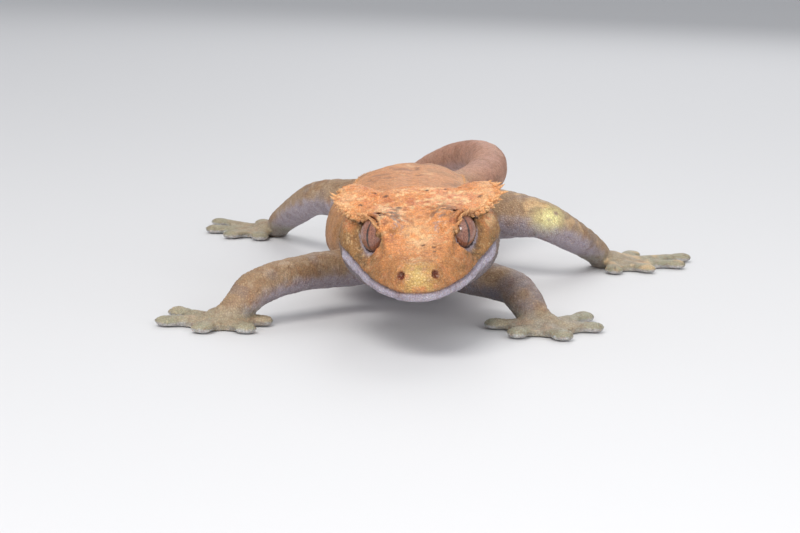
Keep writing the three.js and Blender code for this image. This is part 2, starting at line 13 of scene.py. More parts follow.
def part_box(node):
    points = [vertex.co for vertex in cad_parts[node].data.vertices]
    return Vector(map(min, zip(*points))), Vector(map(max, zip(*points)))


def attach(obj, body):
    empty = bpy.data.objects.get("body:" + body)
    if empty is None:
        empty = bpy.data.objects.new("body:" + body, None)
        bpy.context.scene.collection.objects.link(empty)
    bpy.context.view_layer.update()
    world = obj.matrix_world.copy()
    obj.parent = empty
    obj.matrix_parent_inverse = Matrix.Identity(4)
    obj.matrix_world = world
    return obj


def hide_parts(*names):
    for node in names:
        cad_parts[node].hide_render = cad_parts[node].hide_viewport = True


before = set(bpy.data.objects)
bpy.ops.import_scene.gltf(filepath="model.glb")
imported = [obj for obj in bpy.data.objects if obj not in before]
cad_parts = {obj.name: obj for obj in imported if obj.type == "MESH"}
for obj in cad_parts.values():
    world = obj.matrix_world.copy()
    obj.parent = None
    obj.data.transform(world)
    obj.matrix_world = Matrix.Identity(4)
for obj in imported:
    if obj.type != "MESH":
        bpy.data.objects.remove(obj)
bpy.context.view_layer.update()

MM = 0.001
SEED = 7

# The head, in its own frame: y runs back from the tip of the snout, z up from the front of the mouth line.
HEAD_PLACE = np.array([3.2, 0.4, 10.9])
HEAD_TURN = (8.0, -4.7, -1.0)  # pitch, roll and yaw, in degrees
EYE_RADIUS = 3.45
EYE_CENTRE = np.array([6.15, 17.0, 5.4])
EYE_AXIS = np.array([0.81, -0.57, 0.14])
EYE_GAZE = np.array([0.66, -0.74, 0.12])  # the pupil looks further forward than the opening faces
EYE_OPENING = 2.95  # radius of the hole between the lids
EYE_RIM = 1.75  # how far out along its axis that hole lies
LID_CLEARANCE = 0.08
EYE_RINGS, EYE_SIDES = 48, 72

# Columns: y, half-width, height of the widest level, top and bottom on the middle line, section power.
HEAD_PROFILE = [
    (0.0, 0.9, 0.9, 1.7, 0.1, 2.0),
    (0.35, 2.3, 0.6, 2.7, -0.7, 2.1),
    (1.2, 3.5, 0.4, 3.6, -1.4, 2.2),
    (2.8, 4.8, 0.3, 4.3, -2.0, 2.25),
    (7.0, 7.1, 0.3, 5.3, -3.0, 2.25),
    (11.0, 8.8, 0.5, 6.3, -4.0, 2.2),
    (15.0, 10.2, 0.9, 7.5, -5.0, 2.2),
    (20.0, 12.4, 1.6, 8.9, -6.3, 2.25),
    (24.0, 13.6, 2.2, 9.7, -7.4, 2.3),
    (27.0, 13.4, 2.4, 10.0, -8.2, 2.3),
    (30.0, 12.3, 2.2, 9.8, -8.8, 2.25),
    (34.0, 10.6, 1.4, 8.6, -9.0, 2.2),
    (39.0, 9.9, 0.6, 7.0, -9.0, 2.2),
]
# The crest of one side, from over the eye to the rear corner and in along the neck.
# Columns: x, y, z, half-width of the blade, half-thickness of its root.
HEAD_CREST = [
    (6.0, 12.6, 7.1, 0.9, 0.6),
    (6.9, 15.2, 7.9, 1.5, 0.75),
    (8.0, 18.6, 8.2, 2.4, 0.95),
    (9.5, 22.4, 8.4, 3.0, 1.2),
    (10.5, 25.6, 8.9, 3.4, 1.3),
    (10.3, 28.6, 9.4, 3.2, 1.2),
    (9.2, 31.6, 9.2, 2.7, 1.0),
    (8.2, 35.0, 8.0, 1.9, 0.8),
    (7.6, 38.5, 6.2, 1.4, 0.7),
]
MOUTH_LINE = [(-3, 0.0), (3, 0.0), (9, 0.15), (14, 0.6), (18, 1.3), (20.8, 2.0), (24, 2.6)]
MOUTH_CORNER = 20.8
NOSTRIL = (2.75, 1.35, 2.75)
EAR = (13.0, 27.4, 2.6)
EAR_SHAPE = (0.55, 1.25, 0.75)  # weight of each axis in the distance from it
# A ridge from over the nostril to the brow: x, y, z and radius.
SNOUT_RIDGE = [(2.4, 3.4, 3.0, 0.7), (4.5, 9.0, 4.6, 0.9), (5.4, 13.2, 6.4, 1.1)]
RIDGE_BLEND = 1.3
# The eye's bulge, the brow and the jaw muscle: centre, radii and blend.
HEAD_SWELLS = [
    ((5.6, 17.8, 5.2), (3.7, 4.6, 3.75), 1.4),
    ((5.2, 18.2, 6.9), (2.9, 5.4, 1.7), 1.8),
    ((9.4, 23.8, 3.6), (3.4, 4.2, 3.4), 1.5),
]
# The crown and the bridge of the snout are a little hollow: y, reach in x and in y, and depth.
CROWN_HOLLOWS = [(23.5, 5.0, 6.0, 0.45), (12.0, 1.6, 4.5, 0.25)]
# Bands along the mouth: height over the mouth line, width and size.
UPPER_LIP = (0.7, 0.5, 0.18)
LOWER_LIP = (-1.25, 0.95, 0.55)
MOUTH_GROOVE = (0.0, 0.2, 0.5)
CHIN_GROOVE = (-2.65, 0.4, 0.3)
LIP_SCALE = 1.35  # length of a lip's scales
LIP_NOTCH = 0.14  # depth of the notches between them

# Neck, body and tail in one line. Columns: x, y, z, half-width, height above that line and below it.
SPINE_LINE = [
    (2.9, 29.0, 16.2, 10.8, 8.2, 8.6),
    (2.8, 35.5, 15.0, 9.9, 8.4, 8.2),
    (2.4, 42.0, 13.6, 10.6, 8.9, 8.2),
    (1.6, 49.0, 12.6, 12.9, 9.8, 8.2),
    (1.2, 58.0, 12.0, 15.1, 10.8, 8.4),
    (1.6, 68.0, 11.8, 15.3, 11.4, 8.4),
    (2.4, 78.0, 11.8, 14.2, 11.4, 8.3),
    (3.6, 88.0, 11.8, 11.8, 10.6, 7.8),
    (5.2, 97.0, 11.8, 9.6, 8.9, 7.0),
    (7.6, 105.0, 12.0, 7.4, 6.9, 5.8),
    (11.0, 112.5, 12.8, 5.4, 5.2, 4.7),
    (14.6, 120.0, 14.0, 4.7, 4.5, 4.3),
    (17.6, 128.5, 15.6, 4.3, 4.1, 4.0),
    (18.6, 137.5, 17.2, 4.1, 3.9, 3.8),
    (16.8, 147.0, 17.8, 3.8, 3.6, 3.5),
    (13.0, 156.0, 16.8, 3.5, 3.3, 3.2),
    (8.4, 164.0, 14.2, 3.2, 3.0, 2.9),
    (3.8, 171.5, 10.6, 2.9, 2.7, 2.6),
    (-0.6, 178.5, 6.9, 2.5, 2.3, 2.2),
    (-5.6, 184.0, 3.6, 2.4, 1.8, 1.9),
    (-11.2, 187.5, 1.7, 2.6, 1.3, 1.9),
    (-16.4, 188.5, 1.1, 2.5, 1.0, 1.3),
]
SPINE_POWER = 2.15
CREST_OUT = 0.66  # how far out on the back its spine rows stand, as a share of the half-width
BACK_FOLD = 0.14  # height of the fold that carries a spine row
FLANK_WRINKLE = 0.1
BACK_GROOVE = 0.3  # depth of the groove along the backbone

# Each limb: [x, y, z, radius] down to the wrist or ankle, the palm's [x, y, radius], and the toes' tips.
LIMBS = {
    "right_arm": {
        "spots": [(-1.0, 46.5, 9.5, 3.7), (-9.0, 44.0, 8.0, 3.5), (-14.8, 38.8, 8.0, 3.2),
                  (-20.8, 32.4, 7.5, 3.1), (-24.9, 28.6, 6.0, 3.2), (-27.2, 26.4, 3.8, 2.8),
                  (-28.6, 25.6, 2.3, 2.4)],
        "palm": (-29.8, 25.8, 3.6),
        "toes": [(-22.2, 27.0), (-25.2, 18.4), (-33.6, 17.2), (-41.4, 23.2), (-39.8, 33.6)],
    },
    "left_arm": {
        "spots": [(5.0, 46.5, 9.5, 3.7), (11.6, 45.0, 7.2, 3.4), (16.4, 43.2, 6.5, 3.2),
                  (20.2, 39.6, 5.9, 3.1), (22.0, 36.4, 4.5, 3.1), (23.2, 33.2, 3.2, 2.8),
                  (23.9, 31.6, 2.3, 2.4)],
        "palm": (24.8, 30.4, 3.7),
        "toes": [(15.6, 31.2), (19.6, 21.8), (28.6, 20.9), (35.6, 31.0), (34.2, 42.4)],
    },
    "right_leg": {
        "spots": [(2.0, 98.0, 11.2, 5.6), (-5.0, 103.0, 11.4, 5.2), (-11.6, 108.6, 11.9, 4.3),
                  (-17.4, 113.8, 11.5, 3.5), (-21.6, 121.0, 8.4, 3.2), (-25.2, 130.0, 4.8, 2.8),
                  (-26.8, 133.6, 2.8, 2.5)],
        "palm": (-28.8, 136.4, 3.8),
        "toes": [(-31.0, 126.2), (-38.2, 128.0), (-43.0, 136.6), (-42.4, 149.6), (-31.6, 150.4)],
    },
    "left_leg": {
        "spots": [(7.5, 97.5, 11.2, 5.7), (14.4, 96.6, 11.5, 5.5), (21.4, 93.2, 11.9, 4.8),
                  (27.6, 90.2, 11.7, 3.8), (33.2, 94.4, 8.6, 3.4), (38.4, 101.4, 5.0, 2.8),
                  (40.8, 104.6, 2.9, 2.5)],
        "palm": (43.4, 106.6, 3.9),
        "toes": [(43.6, 95.2), (51.8, 98.8), (59.2, 107.0), (61.2, 118.0), (50.0, 120.6)],
    },
}
PALM_LEVEL = 1.15  # height of a palm's middle
PALM_HEIGHT = 2.1  # from there to its top
PAD_WIDTH = 3.3
PAD_LENGTH = (3.3, 4.6)  # of a short toe and of a long one
WEB_REACH = (0.74, 0.56)  # how far the web runs out beside a toe and between two, as a share of the toe
TOE_FLATTEN = 2.0  # a toe is this many times wider than tall
PALM_SPREAD = 1.05  # a palm's radius over the one in the table
WEB_LEVEL = 0.65
WEB_HALF_HEIGHT = 0.6
# How softly the parts run into each other.
NECK_BLEND = 1.4
LIMB_BLEND = 2.2
WRIST_BLEND = 1.1
TOE_BLEND = 0.8
FLOOR_BLEND = 0.25

# Spines in one head crest, over one eye and in one row of the back.
CREST_COUNT = 38
LASH_COUNT = 13
BACK_COUNT = 64
CLAW_LENGTH = 1.35
CLAW_RADIUS = 0.27

# The grid that meshes the skin: its step near the head and elsewhere.
FINE = 0.23
PLAIN = 0.38
HEAD_X = (-16.0, 23.0)
HEAD_Y = (-1.5, 36.0)
GRID_LOW = (-46.0, -1.6, -0.35)
GRID_HIGH = (64.6, 193.0, 28.5)
COARSE = 1.0
BAND = 2.6  # fields within this of zero on the coarse grid are worked out on the fine one
FAR = 9.0


def smooth_min(a, b, k):
    h = np.clip(0.5 + 0.5 * (b - a) / k, 0, 1)
    return b + (a - b) * h - k * h * (1 - h)


def smooth_max(a, b, k):
    return -smooth_min(-a, -b, k)


def bell(d, width):
    return np.exp(-((d / width) ** 2))


def ramp(x, low, high):
    """0 below low, 1 above high, smooth between. low may be above high."""
    t = np.clip((x - low) / (high - low), 0, 1)
    return t * t * (3 - 2 * t)


def catmull(rows, t):
    """Catmull-Rom interpolation of a table's rows at each t."""
    rows = np.asarray(rows, float)
    last = len(rows) - 1
    i = np.clip(np.floor(t).astype(int), 0, last - 1)
    f = (np.asarray(t) - i)[:, None]
    a, b, c, d = rows[np.maximum(i - 1, 0)], rows[i], rows[i + 1], rows[np.minimum(i + 2, last)]
    s0, s1, rise = (c - a) / 2, (d - b) / 2, c - b
    return b + f * (s0 + f * (3 * rise - 2 * s0 - s1 + f * (s0 + s1 - 2 * rise)))


def norm(v):
    return np.linalg.norm(v, axis=1)


def unit(v):
    return v / np.maximum(np.linalg.norm(v, axis=-1, keepdims=True), 1e-9)


def euler_matrix(pitch, roll, yaw):
    turn = (
        Matrix.Rotation(np.radians(yaw), 3, "Z")
        @ Matrix.Rotation(np.radians(roll), 3, "Y")
        @ Matrix.Rotation(np.radians(pitch), 3, "X")
    )
    return np.array(turn)


HEAD_ROTATION = euler_matrix(*HEAD_TURN)


def to_head(p):
    return (p - HEAD_PLACE) @ HEAD_ROTATION


def from_head(q):
    return q @ HEAD_ROTATION.T + HEAD_PLACE


class Line:
    """A curve through a table's rows, whose first three columns are a place, sampled evenly."""

    def __init__(self, rows, count):
        t = np.linspace(0, len(rows) - 1, count)
        self.t = t
        self.rows = catmull(rows, t).astype(np.float32)
        self.at = self.rows[:, :3]
        step = np.gradient(self.at, axis=0)
        length = np.linalg.norm(step, axis=1, keepdims=True)
        self.tangent = step / length
        self.side = unit(np.cross(self.tangent, [0, 0, 1]))
        self.up = np.cross(self.side, self.tangent)
        self.slope = np.gradient(self.rows, axis=0) / length
        self.run = np.concatenate([[0], np.cumsum(norm(np.diff(self.at, axis=0)))])

    def nearest(self, p):
        """For each point: the sample's index, offsets along side, up and tangent, and its columns there."""
        found = np.empty(len(p), int)
        square = (self.at**2).sum(1)
        for start in range(0, len(p), 60000):
            part = p[start : start + 60000].astype(np.float32)
            found[start : start + 60000] = np.argmin(square - 2 * part @ self.at.T, axis=1)
        off = p - self.at[found]
        along = (off * self.tangent[found]).sum(1)
        side = (off * self.side[found]).sum(1)
        up = (off * self.up[found]).sum(1)
        columns = self.rows[found] + self.slope[found] * along[:, None]
        return found, side, up, along, columns


SPINE = Line(SPINE_LINE, 320)
CRESTS = {side: Line([(r[0] * side, *r[1:]) for r in HEAD_CREST], 70) for side in (-1, 1)}


def profile_table():
    """The head's columns at even steps of y."""
    rows = np.array(HEAD_PROFILE)
    y = np.arange(0, 39.01, 0.05)
    i = np.clip(np.searchsorted(rows[:, 0], y, side="right") - 1, 0, len(rows) - 2)
    f = (y - rows[i, 0]) / (rows[i + 1, 0] - rows[i, 0])
    return y, catmull(rows, i + f)


PROFILE_Y, PROFILE = profile_table()


def rounded(a, b, w, h, power):
    """About the distance from a superellipse of half-sizes w and h."""
    far = np.hypot(a, b)
    r = (np.abs(a / w) ** power + np.abs(b / h) ** power) ** (1 / power)
    return far - far / np.maximum(r, 1e-4)


def ellipsoid(p, centre, radii):
    q = (p - centre) / radii
    k0 = norm(q)
    k1 = norm(q / radii)
    return k0 * (k0 - 1) / np.maximum(k1, 1e-6)


def chain(p, spots, smooth=0.0):
    """Round cones joined end to end. Each spot is x, y, z, radius."""
    d = np.full(len(p), FAR)
    for a, b in zip(spots[:-1], spots[1:]):
        a, b = np.asarray(a), np.asarray(b)
        way = b[:3] - a[:3]
        t = np.clip((p - a[:3]) @ way / (way @ way), 0, 1)
        one = norm(p - a[:3] - t[:, None] * way) - (a[3] + t * (b[3] - a[3]))
        d = smooth_min(d, one, smooth) if smooth else np.minimum(d, one)
    return d


def trunk_field(p):
    index, side, up, along, c = SPINE.nearest(p)
    w, h = c[:, 3], np.where(up > 0, c[:, 4], c[:, 5])
    d = rounded(side, up, np.maximum(w, 0.5), np.maximum(h, 0.5), SPINE_POWER)
    share = side / np.maximum(w, 1)
    t = SPINE.t[index]
    body = ramp(t, 1.0, 3.0) * ramp(t, 10.5, 8.0)
    # A low fold carries the spine row along each side of the back, and loose skin hangs along the flank.
    fold = bell(np.abs(share) - CREST_OUT, 0.12) * (up > 0) * ramp(t, 0.8, 2.2) * ramp(t, 9.5, 6.5)
    d -= BACK_FOLD * fold
    wrinkle = np.sin(SPINE.run[index] * 1.5 + 2.2 * np.sin(up * 0.35))
    d += FLANK_WRINKLE * body * bell(np.abs(share) - 0.98, 0.28) * wrinkle
    # The backbone shows as a faint groove between two muscles.
    d += BACK_GROOVE * body * bell(share, 0.09) * (up > 0)
    ends = np.where((index == 0) | (index == len(SPINE.t) - 1), np.abs(along), 0)
    return np.hypot(np.maximum(d, 0), ends) + np.minimum(d, 0) + (ends > 0) * ends * 0.2


def mouth_height(q):
    rows = np.array(MOUTH_LINE, float)
    return np.interp(q[:, 1], rows[:, 0], rows[:, 1])


def head_shell(q):
    y = np.clip(q[:, 1], 0, 39)
    w, zw, zt, zb, power = (np.interp(y, PROFILE_Y, PROFILE[:, k]) for k in range(1, 6))
    b = q[:, 2] - zw
    h = np.where(b > 0, zt - zw, zw - zb)
    d = rounded(q[:, 0], b, w, h, power)
    beyond = np.maximum(np.maximum(-q[:, 1], q[:, 1] - 39), 0)
    return np.hypot(np.maximum(d, 0), beyond) + np.where(beyond > 0, 0, np.minimum(d, 0))


def crest_field(q, side):
    """A blade that is thick at its root, thin at its edge and notched between its spines."""
    line = CRESTS[side]
    index, out, up, along, c = line.nearest(q)
    out = out * side
    w = c[:, 3] * (1 + 0.1 * np.sin(line.run[index] * 4.6))
    share = np.clip((out + w) / (2 * w), 0, 1)
    thick = c[:, 4] * (1 - share) ** 0.8 + 0.26
    # The blade's outer edge hangs down over the eye, and the one on the right turns up at its rear corner.
    droop = 0.9 * ramp(c[:, 1], 25.0, 21.0) - (0.7 if side < 0 else 0.0) * ramp(c[:, 1], 25.5, 29.0)
    up = up + droop * share**2 + 1.5 * (1 - share) ** 2
    end = np.where((index == 0) | (index == len(line.t) - 1), np.abs(along), 0)
    d = smooth_max(np.abs(up) - thick, np.abs(out) - w, 0.6)
    return smooth_max(d, end - 0.3, 0.5)


def eye_frame(side, toward=EYE_AXIS):
    """Centre, axis, across and up of an eye, in the head's frame."""
    centre = EYE_CENTRE * [side, 1, 1]
    axis = unit(toward * [side, 1, 1])
    across = unit(np.cross([0, 0, 1], axis))
    return centre, axis, across, np.cross(axis, across)


def socket_field(d, q, side):
    """Adds an eye's hollow, crest and lids to the head, and opens the socket."""
    centre, axis, across, up = eye_frame(side)
    e = q - centre
    s = e @ axis
    off = np.hypot(e @ across, e @ up)
    # The face falls away in front of the eye, which stands clear in its ring of lid scales.
    funnel = np.maximum((off - 3.3 - 1.5 * (s - EYE_RIM)) / 1.8, 1.0 - s)
    reach = off - np.where(e[:, 1] > 0, 5.2, 4.1)
    d = smooth_max(d, -smooth_max(funnel, reach, 1.2), 0.8)
    d = smooth_min(d, crest_field(q, side), 1.1)
    beads = 0.06 * np.cos(22 * np.arctan2(e @ up, e @ across))
    d = smooth_min(d, np.hypot(off - 3.2, s - EYE_RIM) - 0.42 - beads, 0.45)
    d += 0.16 * bell(off - 4.1, 0.25) * (s > 0.3)
    d = smooth_max(d, (EYE_RADIUS + LID_CLEARANCE) - norm(e), 0.12)
    return smooth_max(d, -np.maximum(off - EYE_OPENING + 0.15, EYE_RIM - 0.2 - s), 0.12)


def band(lift, shape):
    """A swelling at a height over the mouth line."""
    height, width, size = shape
    return size * bell(lift - height, width)


def lip_relief(q):
    """What the mouth's grooves and notches take away, less what the lips add."""
    lift = q[:, 2] - mouth_height(q)
    front = ramp(q[:, 1], MOUTH_CORNER + 1.6, MOUTH_CORNER - 1.2)
    radius = np.hypot(q[:, 0], q[:, 1] + 0.6)
    scale = np.abs((radius / LIP_SCALE) % 1 - 0.5) * 2
    seam = LIP_NOTCH * bell(scale - 1, 0.22) * (bell(lift - 0.75, 0.5) + bell(lift + 1.2, 0.8))
    lips = band(lift, UPPER_LIP) + band(lift, LOWER_LIP)
    return front * (band(lift, MOUTH_GROOVE) + seam + band(lift, CHIN_GROOVE) - lips)


def head_field(p):
    q = to_head(p)
    m = q.copy()
    m[:, 0] = np.abs(m[:, 0])
    d = smooth_min(head_shell(q), chain(m, SNOUT_RIDGE), RIDGE_BLEND)
    for centre, radii, blend in HEAD_SWELLS:
        d = smooth_min(d, ellipsoid(m, centre, radii), blend)
    for y, across, along, depth in CROWN_HOLLOWS:
        d += depth * bell(m[:, 0], across) * bell(q[:, 1] - y, along) * (q[:, 2] > 3)
    for side in (-1, 1):
        d = socket_field(d, q, side)
    d += lip_relief(q)
    # Each nostril is a pit with a raised rim, and each ear a pit.
    nostril = norm((m - NOSTRIL) * [1, 0.8, 1.15])
    d -= 0.3 * bell(nostril - 0.85, 0.4)
    d += 1.2 * bell(nostril, 0.48)
    ear = norm((m - EAR) * EAR_SHAPE)
    return d + 1.3 * bell(ear, 0.75)


def toe_rows(palm, tip, reach):
    """A toe as x, y, z and half-width down its length."""
    way = np.subtract(tip, palm[:2])
    length = np.linalg.norm(way)
    way = way / length
    pad = np.clip((length - reach) * 0.62, *PAD_LENGTH)
    half = PAD_WIDTH / 2
    stops = [
        (reach * 0.5, 1.3, 1.5),
        (reach * 1.1, 1.15, 1.3),
        (length - pad, 1.0, 1.25),
        (length - pad * 0.62, 0.9, half * 1.02),
        (length - pad * 0.4, 0.85, half * 1.12),
        (length - 1.5, 0.8, half * 0.95),
    ]
    return [(palm[0] + way[0] * s, palm[1] + way[1] * s, z, r) for s, z, r in stops], way


def triangle(p, a, b, c):
    """Signed distance from a triangle in the floor's plane."""
    corners = [np.array(v) for v in (a, b, c)]
    turn = np.sign(np.cross(corners[1] - corners[0], corners[2] - corners[0]))
    square, inner = np.full(len(p), 1e6), np.full(len(p), 1e6)
    for start, end in zip(corners, corners[1:] + corners[:1]):
        way, off = end - start, p[:, :2] - start
        t = np.clip(off @ way / (way @ way), 0, 1)
        square = np.minimum(square, ((off - t[:, None] * way) ** 2).sum(1))
        inner = np.minimum(inner, turn * (way[0] * off[:, 1] - way[1] * off[:, 0]))
    return -np.sign(inner) * np.sqrt(square)


def web_field(p, palm, first, second):
    """The web between two toes, with a hollow edge."""
    centre = np.array(palm[:2])
    out = [np.array(tip) - centre for tip in (first, second)]
    sides = [centre + v * WEB_REACH[0] for v in out]
    middle = centre + (out[0] + out[1]) / 2 * WEB_REACH[1] * 1.15
    flat = np.minimum(triangle(p, centre, sides[0], middle), triangle(p, centre, middle, sides[1]))
    return smooth_max(flat - 0.15, np.abs(p[:, 2] - WEB_LEVEL) - WEB_HALF_HEIGHT, 0.3)


def foot_field(p, limb):
    px, py, pw = limb["palm"]
    reach = pw * PALM_SPREAD
    d = ellipsoid(p, (px, py, PALM_LEVEL), (reach, reach, PALM_HEIGHT))
    for first, second in zip(limb["toes"][:-1], limb["toes"][1:]):
        d = smooth_min(d, web_field(p, limb["palm"], first, second), 0.7)
    flat = p * [1, 1, TOE_FLATTEN]
    for tip in limb["toes"]:
        rows, _ = toe_rows(limb["palm"], tip, reach)
        rows = [(x, y, z * TOE_FLATTEN, r) for x, y, z, r in rows]
        d = smooth_min(d, chain(flat, rows, 0.25) / 1.25, TOE_BLEND)
    return d


def limb_field(p, name):
    limb = LIMBS[name]
    t = np.linspace(0, len(limb["spots"]) - 1, 19)
    d = chain(p, catmull(limb["spots"], t), 0.15)
    return smooth_min(d, foot_field(p, limb), WRIST_BLEND)


def limb_reach(name):
    limb = LIMBS[name]
    return [s[:3] for s in limb["spots"]] + [(*t, 0) for t in limb["toes"]]


HEAD_REACH = from_head(np.array([(-16, -2, -10), (16, 41, 13.0), (16, -2, 13.0), (-16, 41, -10.0)]))


def part_fields(p):
    """The field of each main part, FAR where it is a long way off."""
    fields = {}
    for name, reach, work in (
        ("trunk", SPINE.at, trunk_field),
        ("head", HEAD_REACH, head_field),
        *((name, limb_reach(name), lambda q, name=name: limb_field(q, name)) for name in LIMBS),
    ):
        d = np.full(len(p), FAR)
        margin = 16 if name == "trunk" else 5
        near = ((p > np.min(reach, 0) - margin) & (p < np.max(reach, 0) + margin)).all(1)
        if near.any():
            d[near] = np.minimum(work(p[near]), FAR)
        fields[name] = d
    return fields


def skin_field(p):
    f = part_fields(p)
    d = smooth_min(f["trunk"], f["head"], NECK_BLEND)
    for name in LIMBS:
        d = smooth_min(d, f[name], LIMB_BLEND)
    return smooth_max(d, -p[:, 2], FLOOR_BLEND)


def graded(low, high, fine_from, fine_to):
    """Grid lines from low to high, closer between fine_from and fine_to."""
    lines = [low]
    while lines[-1] < high:
        x = lines[-1]
        away = max(fine_from - x, x - fine_to, 0)
        lines.append(x + FINE + (PLAIN - FINE) * min(away / 4, 1))
    return np.array(lines)


def grid_values():
    low, high = np.array(GRID_LOW), np.array(GRID_HIGH)
    axes = [
        graded(low[0], high[0], *HEAD_X),
        graded(low[1], high[1], *HEAD_Y),
        np.arange(low[2], high[2], FINE + 0.01),
    ]
    rough = [np.arange(low[k] - COARSE, high[k] + 2 * COARSE, COARSE) for k in range(3)]
    points = np.stack(np.meshgrid(*rough, indexing="ij"), -1).reshape(-1, 3)
    first = np.concatenate([skin_field(part) for part in np.array_split(points, 8)])
    first = first.reshape([len(a) for a in rough])
    nearest = [np.round((a - r[0]) / COARSE).astype(int) for a, r in zip(axes, rough)]
    spots = np.ix_(*(np.clip(i, 0, len(r) - 1) for i, r in zip(nearest, rough)))
    values = np.where(first[spots] < 0, -FAR, FAR).astype(np.float32)
    wanted = np.argwhere(np.abs(first[spots]) < BAND)
    p = np.stack([axes[k][wanted[:, k]] for k in range(3)], 1)
    worked = np.concatenate([skin_field(part) for part in np.array_split(p, max(1, len(p) // 300000))])
    values[tuple(wanted.T)] = worked
    return values, axes


CORNERS = np.array([(x, y, z) for x in (0, 1) for y in (0, 1) for z in (0, 1)])


def surface_net(values, axes):
    """One vertex in each grid cell that the surface crosses, and a quad round each grid edge it crosses."""
    inside = values < 0
    size = np.array(inside.shape) - 1
    count = np.zeros(size, np.uint8)
    for x, y, z in CORNERS:
        count += inside[x : x + size[0], y : y + size[1], z : z + size[2]]
    active = (count > 0) & (count < 8)
    cells = np.argwhere(active)
    number = np.full(size, -1, np.int64)
    number[active] = np.arange(len(cells))
    total, crossings = np.zeros((len(cells), 3)), np.zeros((len(cells), 1))
    for a in CORNERS:
        for k in range(3):
            if a[k]:
                continue
            b = a + np.eye(3, dtype=int)[k]
            ia, ib = cells + a, cells + b
            va, vb = values[tuple(ia.T)].astype(float), values[tuple(ib.T)].astype(float)
            crossed = ((va < 0) != (vb < 0))[:, None]
            pa = np.stack([axes[j][ia[:, j]] for j in range(3)], 1)
            pb = np.stack([axes[j][ib[:, j]] for j in range(3)], 1)
            t = np.where(crossed[:, 0], va / np.where(va == vb, 1, va - vb), 0)[:, None]
            total += crossed * (pa + t * (pb - pa))
            crossings += crossed
    quads = []
    for k in range(3):
        i, j = (k + 1) % 3, (k + 2) % 3
        low = [slice(1, -1)] * 3
        low[k] = slice(0, -1)
        high = list(low)
        high[k] = slice(1, None)
        here, there = inside[tuple(low)], inside[tuple(high)]
        for leaving in (True, False):
            edges = np.argwhere((here & ~there) if leaving else (~here & there))
            edges += [0 if m == k else 1 for m in range(3)]
            ring = []
            for di, dj in ((-1, -1), (0, -1), (0, 0), (-1, 0)):
                cell = edges.copy()
                cell[:, i] += di
                cell[:, j] += dj
                ring.append(number[tuple(cell.T)])
            ring = np.stack(ring, 1)
            quads.append(ring if leaving else ring[:, ::-1])
    return total / crossings, np.concatenate(quads)


def slope_of(p, step=0.04):
    """The skin's field at each point, and its slope there."""
    here = skin_field(p)
    return here, np.stack([skin_field(p + step * way) - here for way in np.eye(3)], 1) / step


def settle(p, rounds):
    """Moves points onto the skin's zero level."""
    for _ in range(rounds):
        here, slope = slope_of(p)
        move = -here[:, None] * slope / np.maximum((slope**2).sum(1), 0.2)[:, None]
        p = p + np.clip(move, -0.2, 0.2)
    return p


def hashed(cells, seed):
    """Three repeatable random numbers from 0 to 1 for each integer cell."""
    n = (cells[:, 0] * 73856093) ^ (cells[:, 1] * 19349663) ^ (cells[:, 2] * 83492791) ^ (seed * 2654435761)
    out = []
    for k in range(3):
        m = (n + k * 374761393) & 0xFFFFFFFF
        m = ((m ^ (m >> 15)) * 2246822519) & 0xFFFFFFFF
        m = ((m ^ (m >> 13)) * 3266489917) & 0xFFFFFFFF
        out.append(((m ^ (m >> 16)) & 0xFFFFFF) / 0xFFFFFF)
    return np.stack(out, 1)


def noise(p, size, seed):
    """Smooth random values from -1 to 1 that change over about size."""
    q = p / size
    base = np.floor(q).astype(np.int64)
    f = q - base
    f = f * f * (3 - 2 * f)
    total = np.zeros(len(p))
    for corner in CORNERS:
        weight = np.prod(np.where(corner, f, 1 - f), axis=1)
        total += weight * hashed(base + corner, seed)[:, 0]
    return total * 2 - 1


def granules(p, size, seed):
    """Distance to the nearest and the second nearest of scattered points, over size."""
    q = p / size
    base = np.floor(q).astype(np.int64)
    first, second = np.full(len(p), FAR), np.full(len(p), FAR)
    for step in np.ndindex(3, 3, 3):
        cell = base + step - 1
        d = norm(cell + 0.15 + 0.7 * hashed(cell, seed) - q)
        second = np.where(d < first, first, np.minimum(second, d))
        first = np.minimum(first, d)
    return first, second


def linear(red, green, blue):
    """A screen colour as linear light."""
    c = np.array([red, green, blue]) / 255
    return np.where(c <= 0.04045, c / 12.92, ((c + 0.055) / 1.055) ** 2.4)


def mix(base, colour, amount):
    return base + (colour - base) * np.clip(amount, 0, 1)[:, None]


def paint(base, *coats):
    """Lays coats over a base, each a colour and an amount."""
    for coat in coats:
        base = mix(base, *coat)
    return base


ORANGE = linear(224, 146, 86)
CREAM = linear(246, 204, 150)
RUST = linear(186, 98, 54)
PINK = linear(226, 150, 120)
OLIVE = linear(138, 104, 58)
DARK_OLIVE = linear(92, 76, 46)
LILAC = linear(172, 166, 184)
GREY = linear(120, 112, 116)
TAN = linear(186, 130, 82)
BROWN = linear(148, 94, 58)
SLATE = linear(116, 116, 130)
TOE = linear(166, 160, 138)
SPOT = linear(58, 30, 20)
YELLOW = linear(232, 214, 128)
TAIL_PINK = linear(186, 136, 118)
PEARL = linear(204, 198, 212)
NOSTRIL_SHADE_RED = linear(92, 26, 20)
LIMB_TAN = linear(164, 138, 112)
LIMB_PALE = linear(196, 172, 146)
FOOT_GREEN = linear(136, 134, 112)
FOOT_PINK = linear(206, 168, 138)
PAD_GREEN = linear(150, 156, 132)
PAD_EDGE = linear(214, 212, 214)
KNEE_YELLOW = linear(252, 244, 172)

KNEE_PATCH = [1.4, -1.6, 0.4]  # from the knee to the middle of the bright patch over it
KNEE_PATCH_SHAPE = [0.8, 0.6, 1]

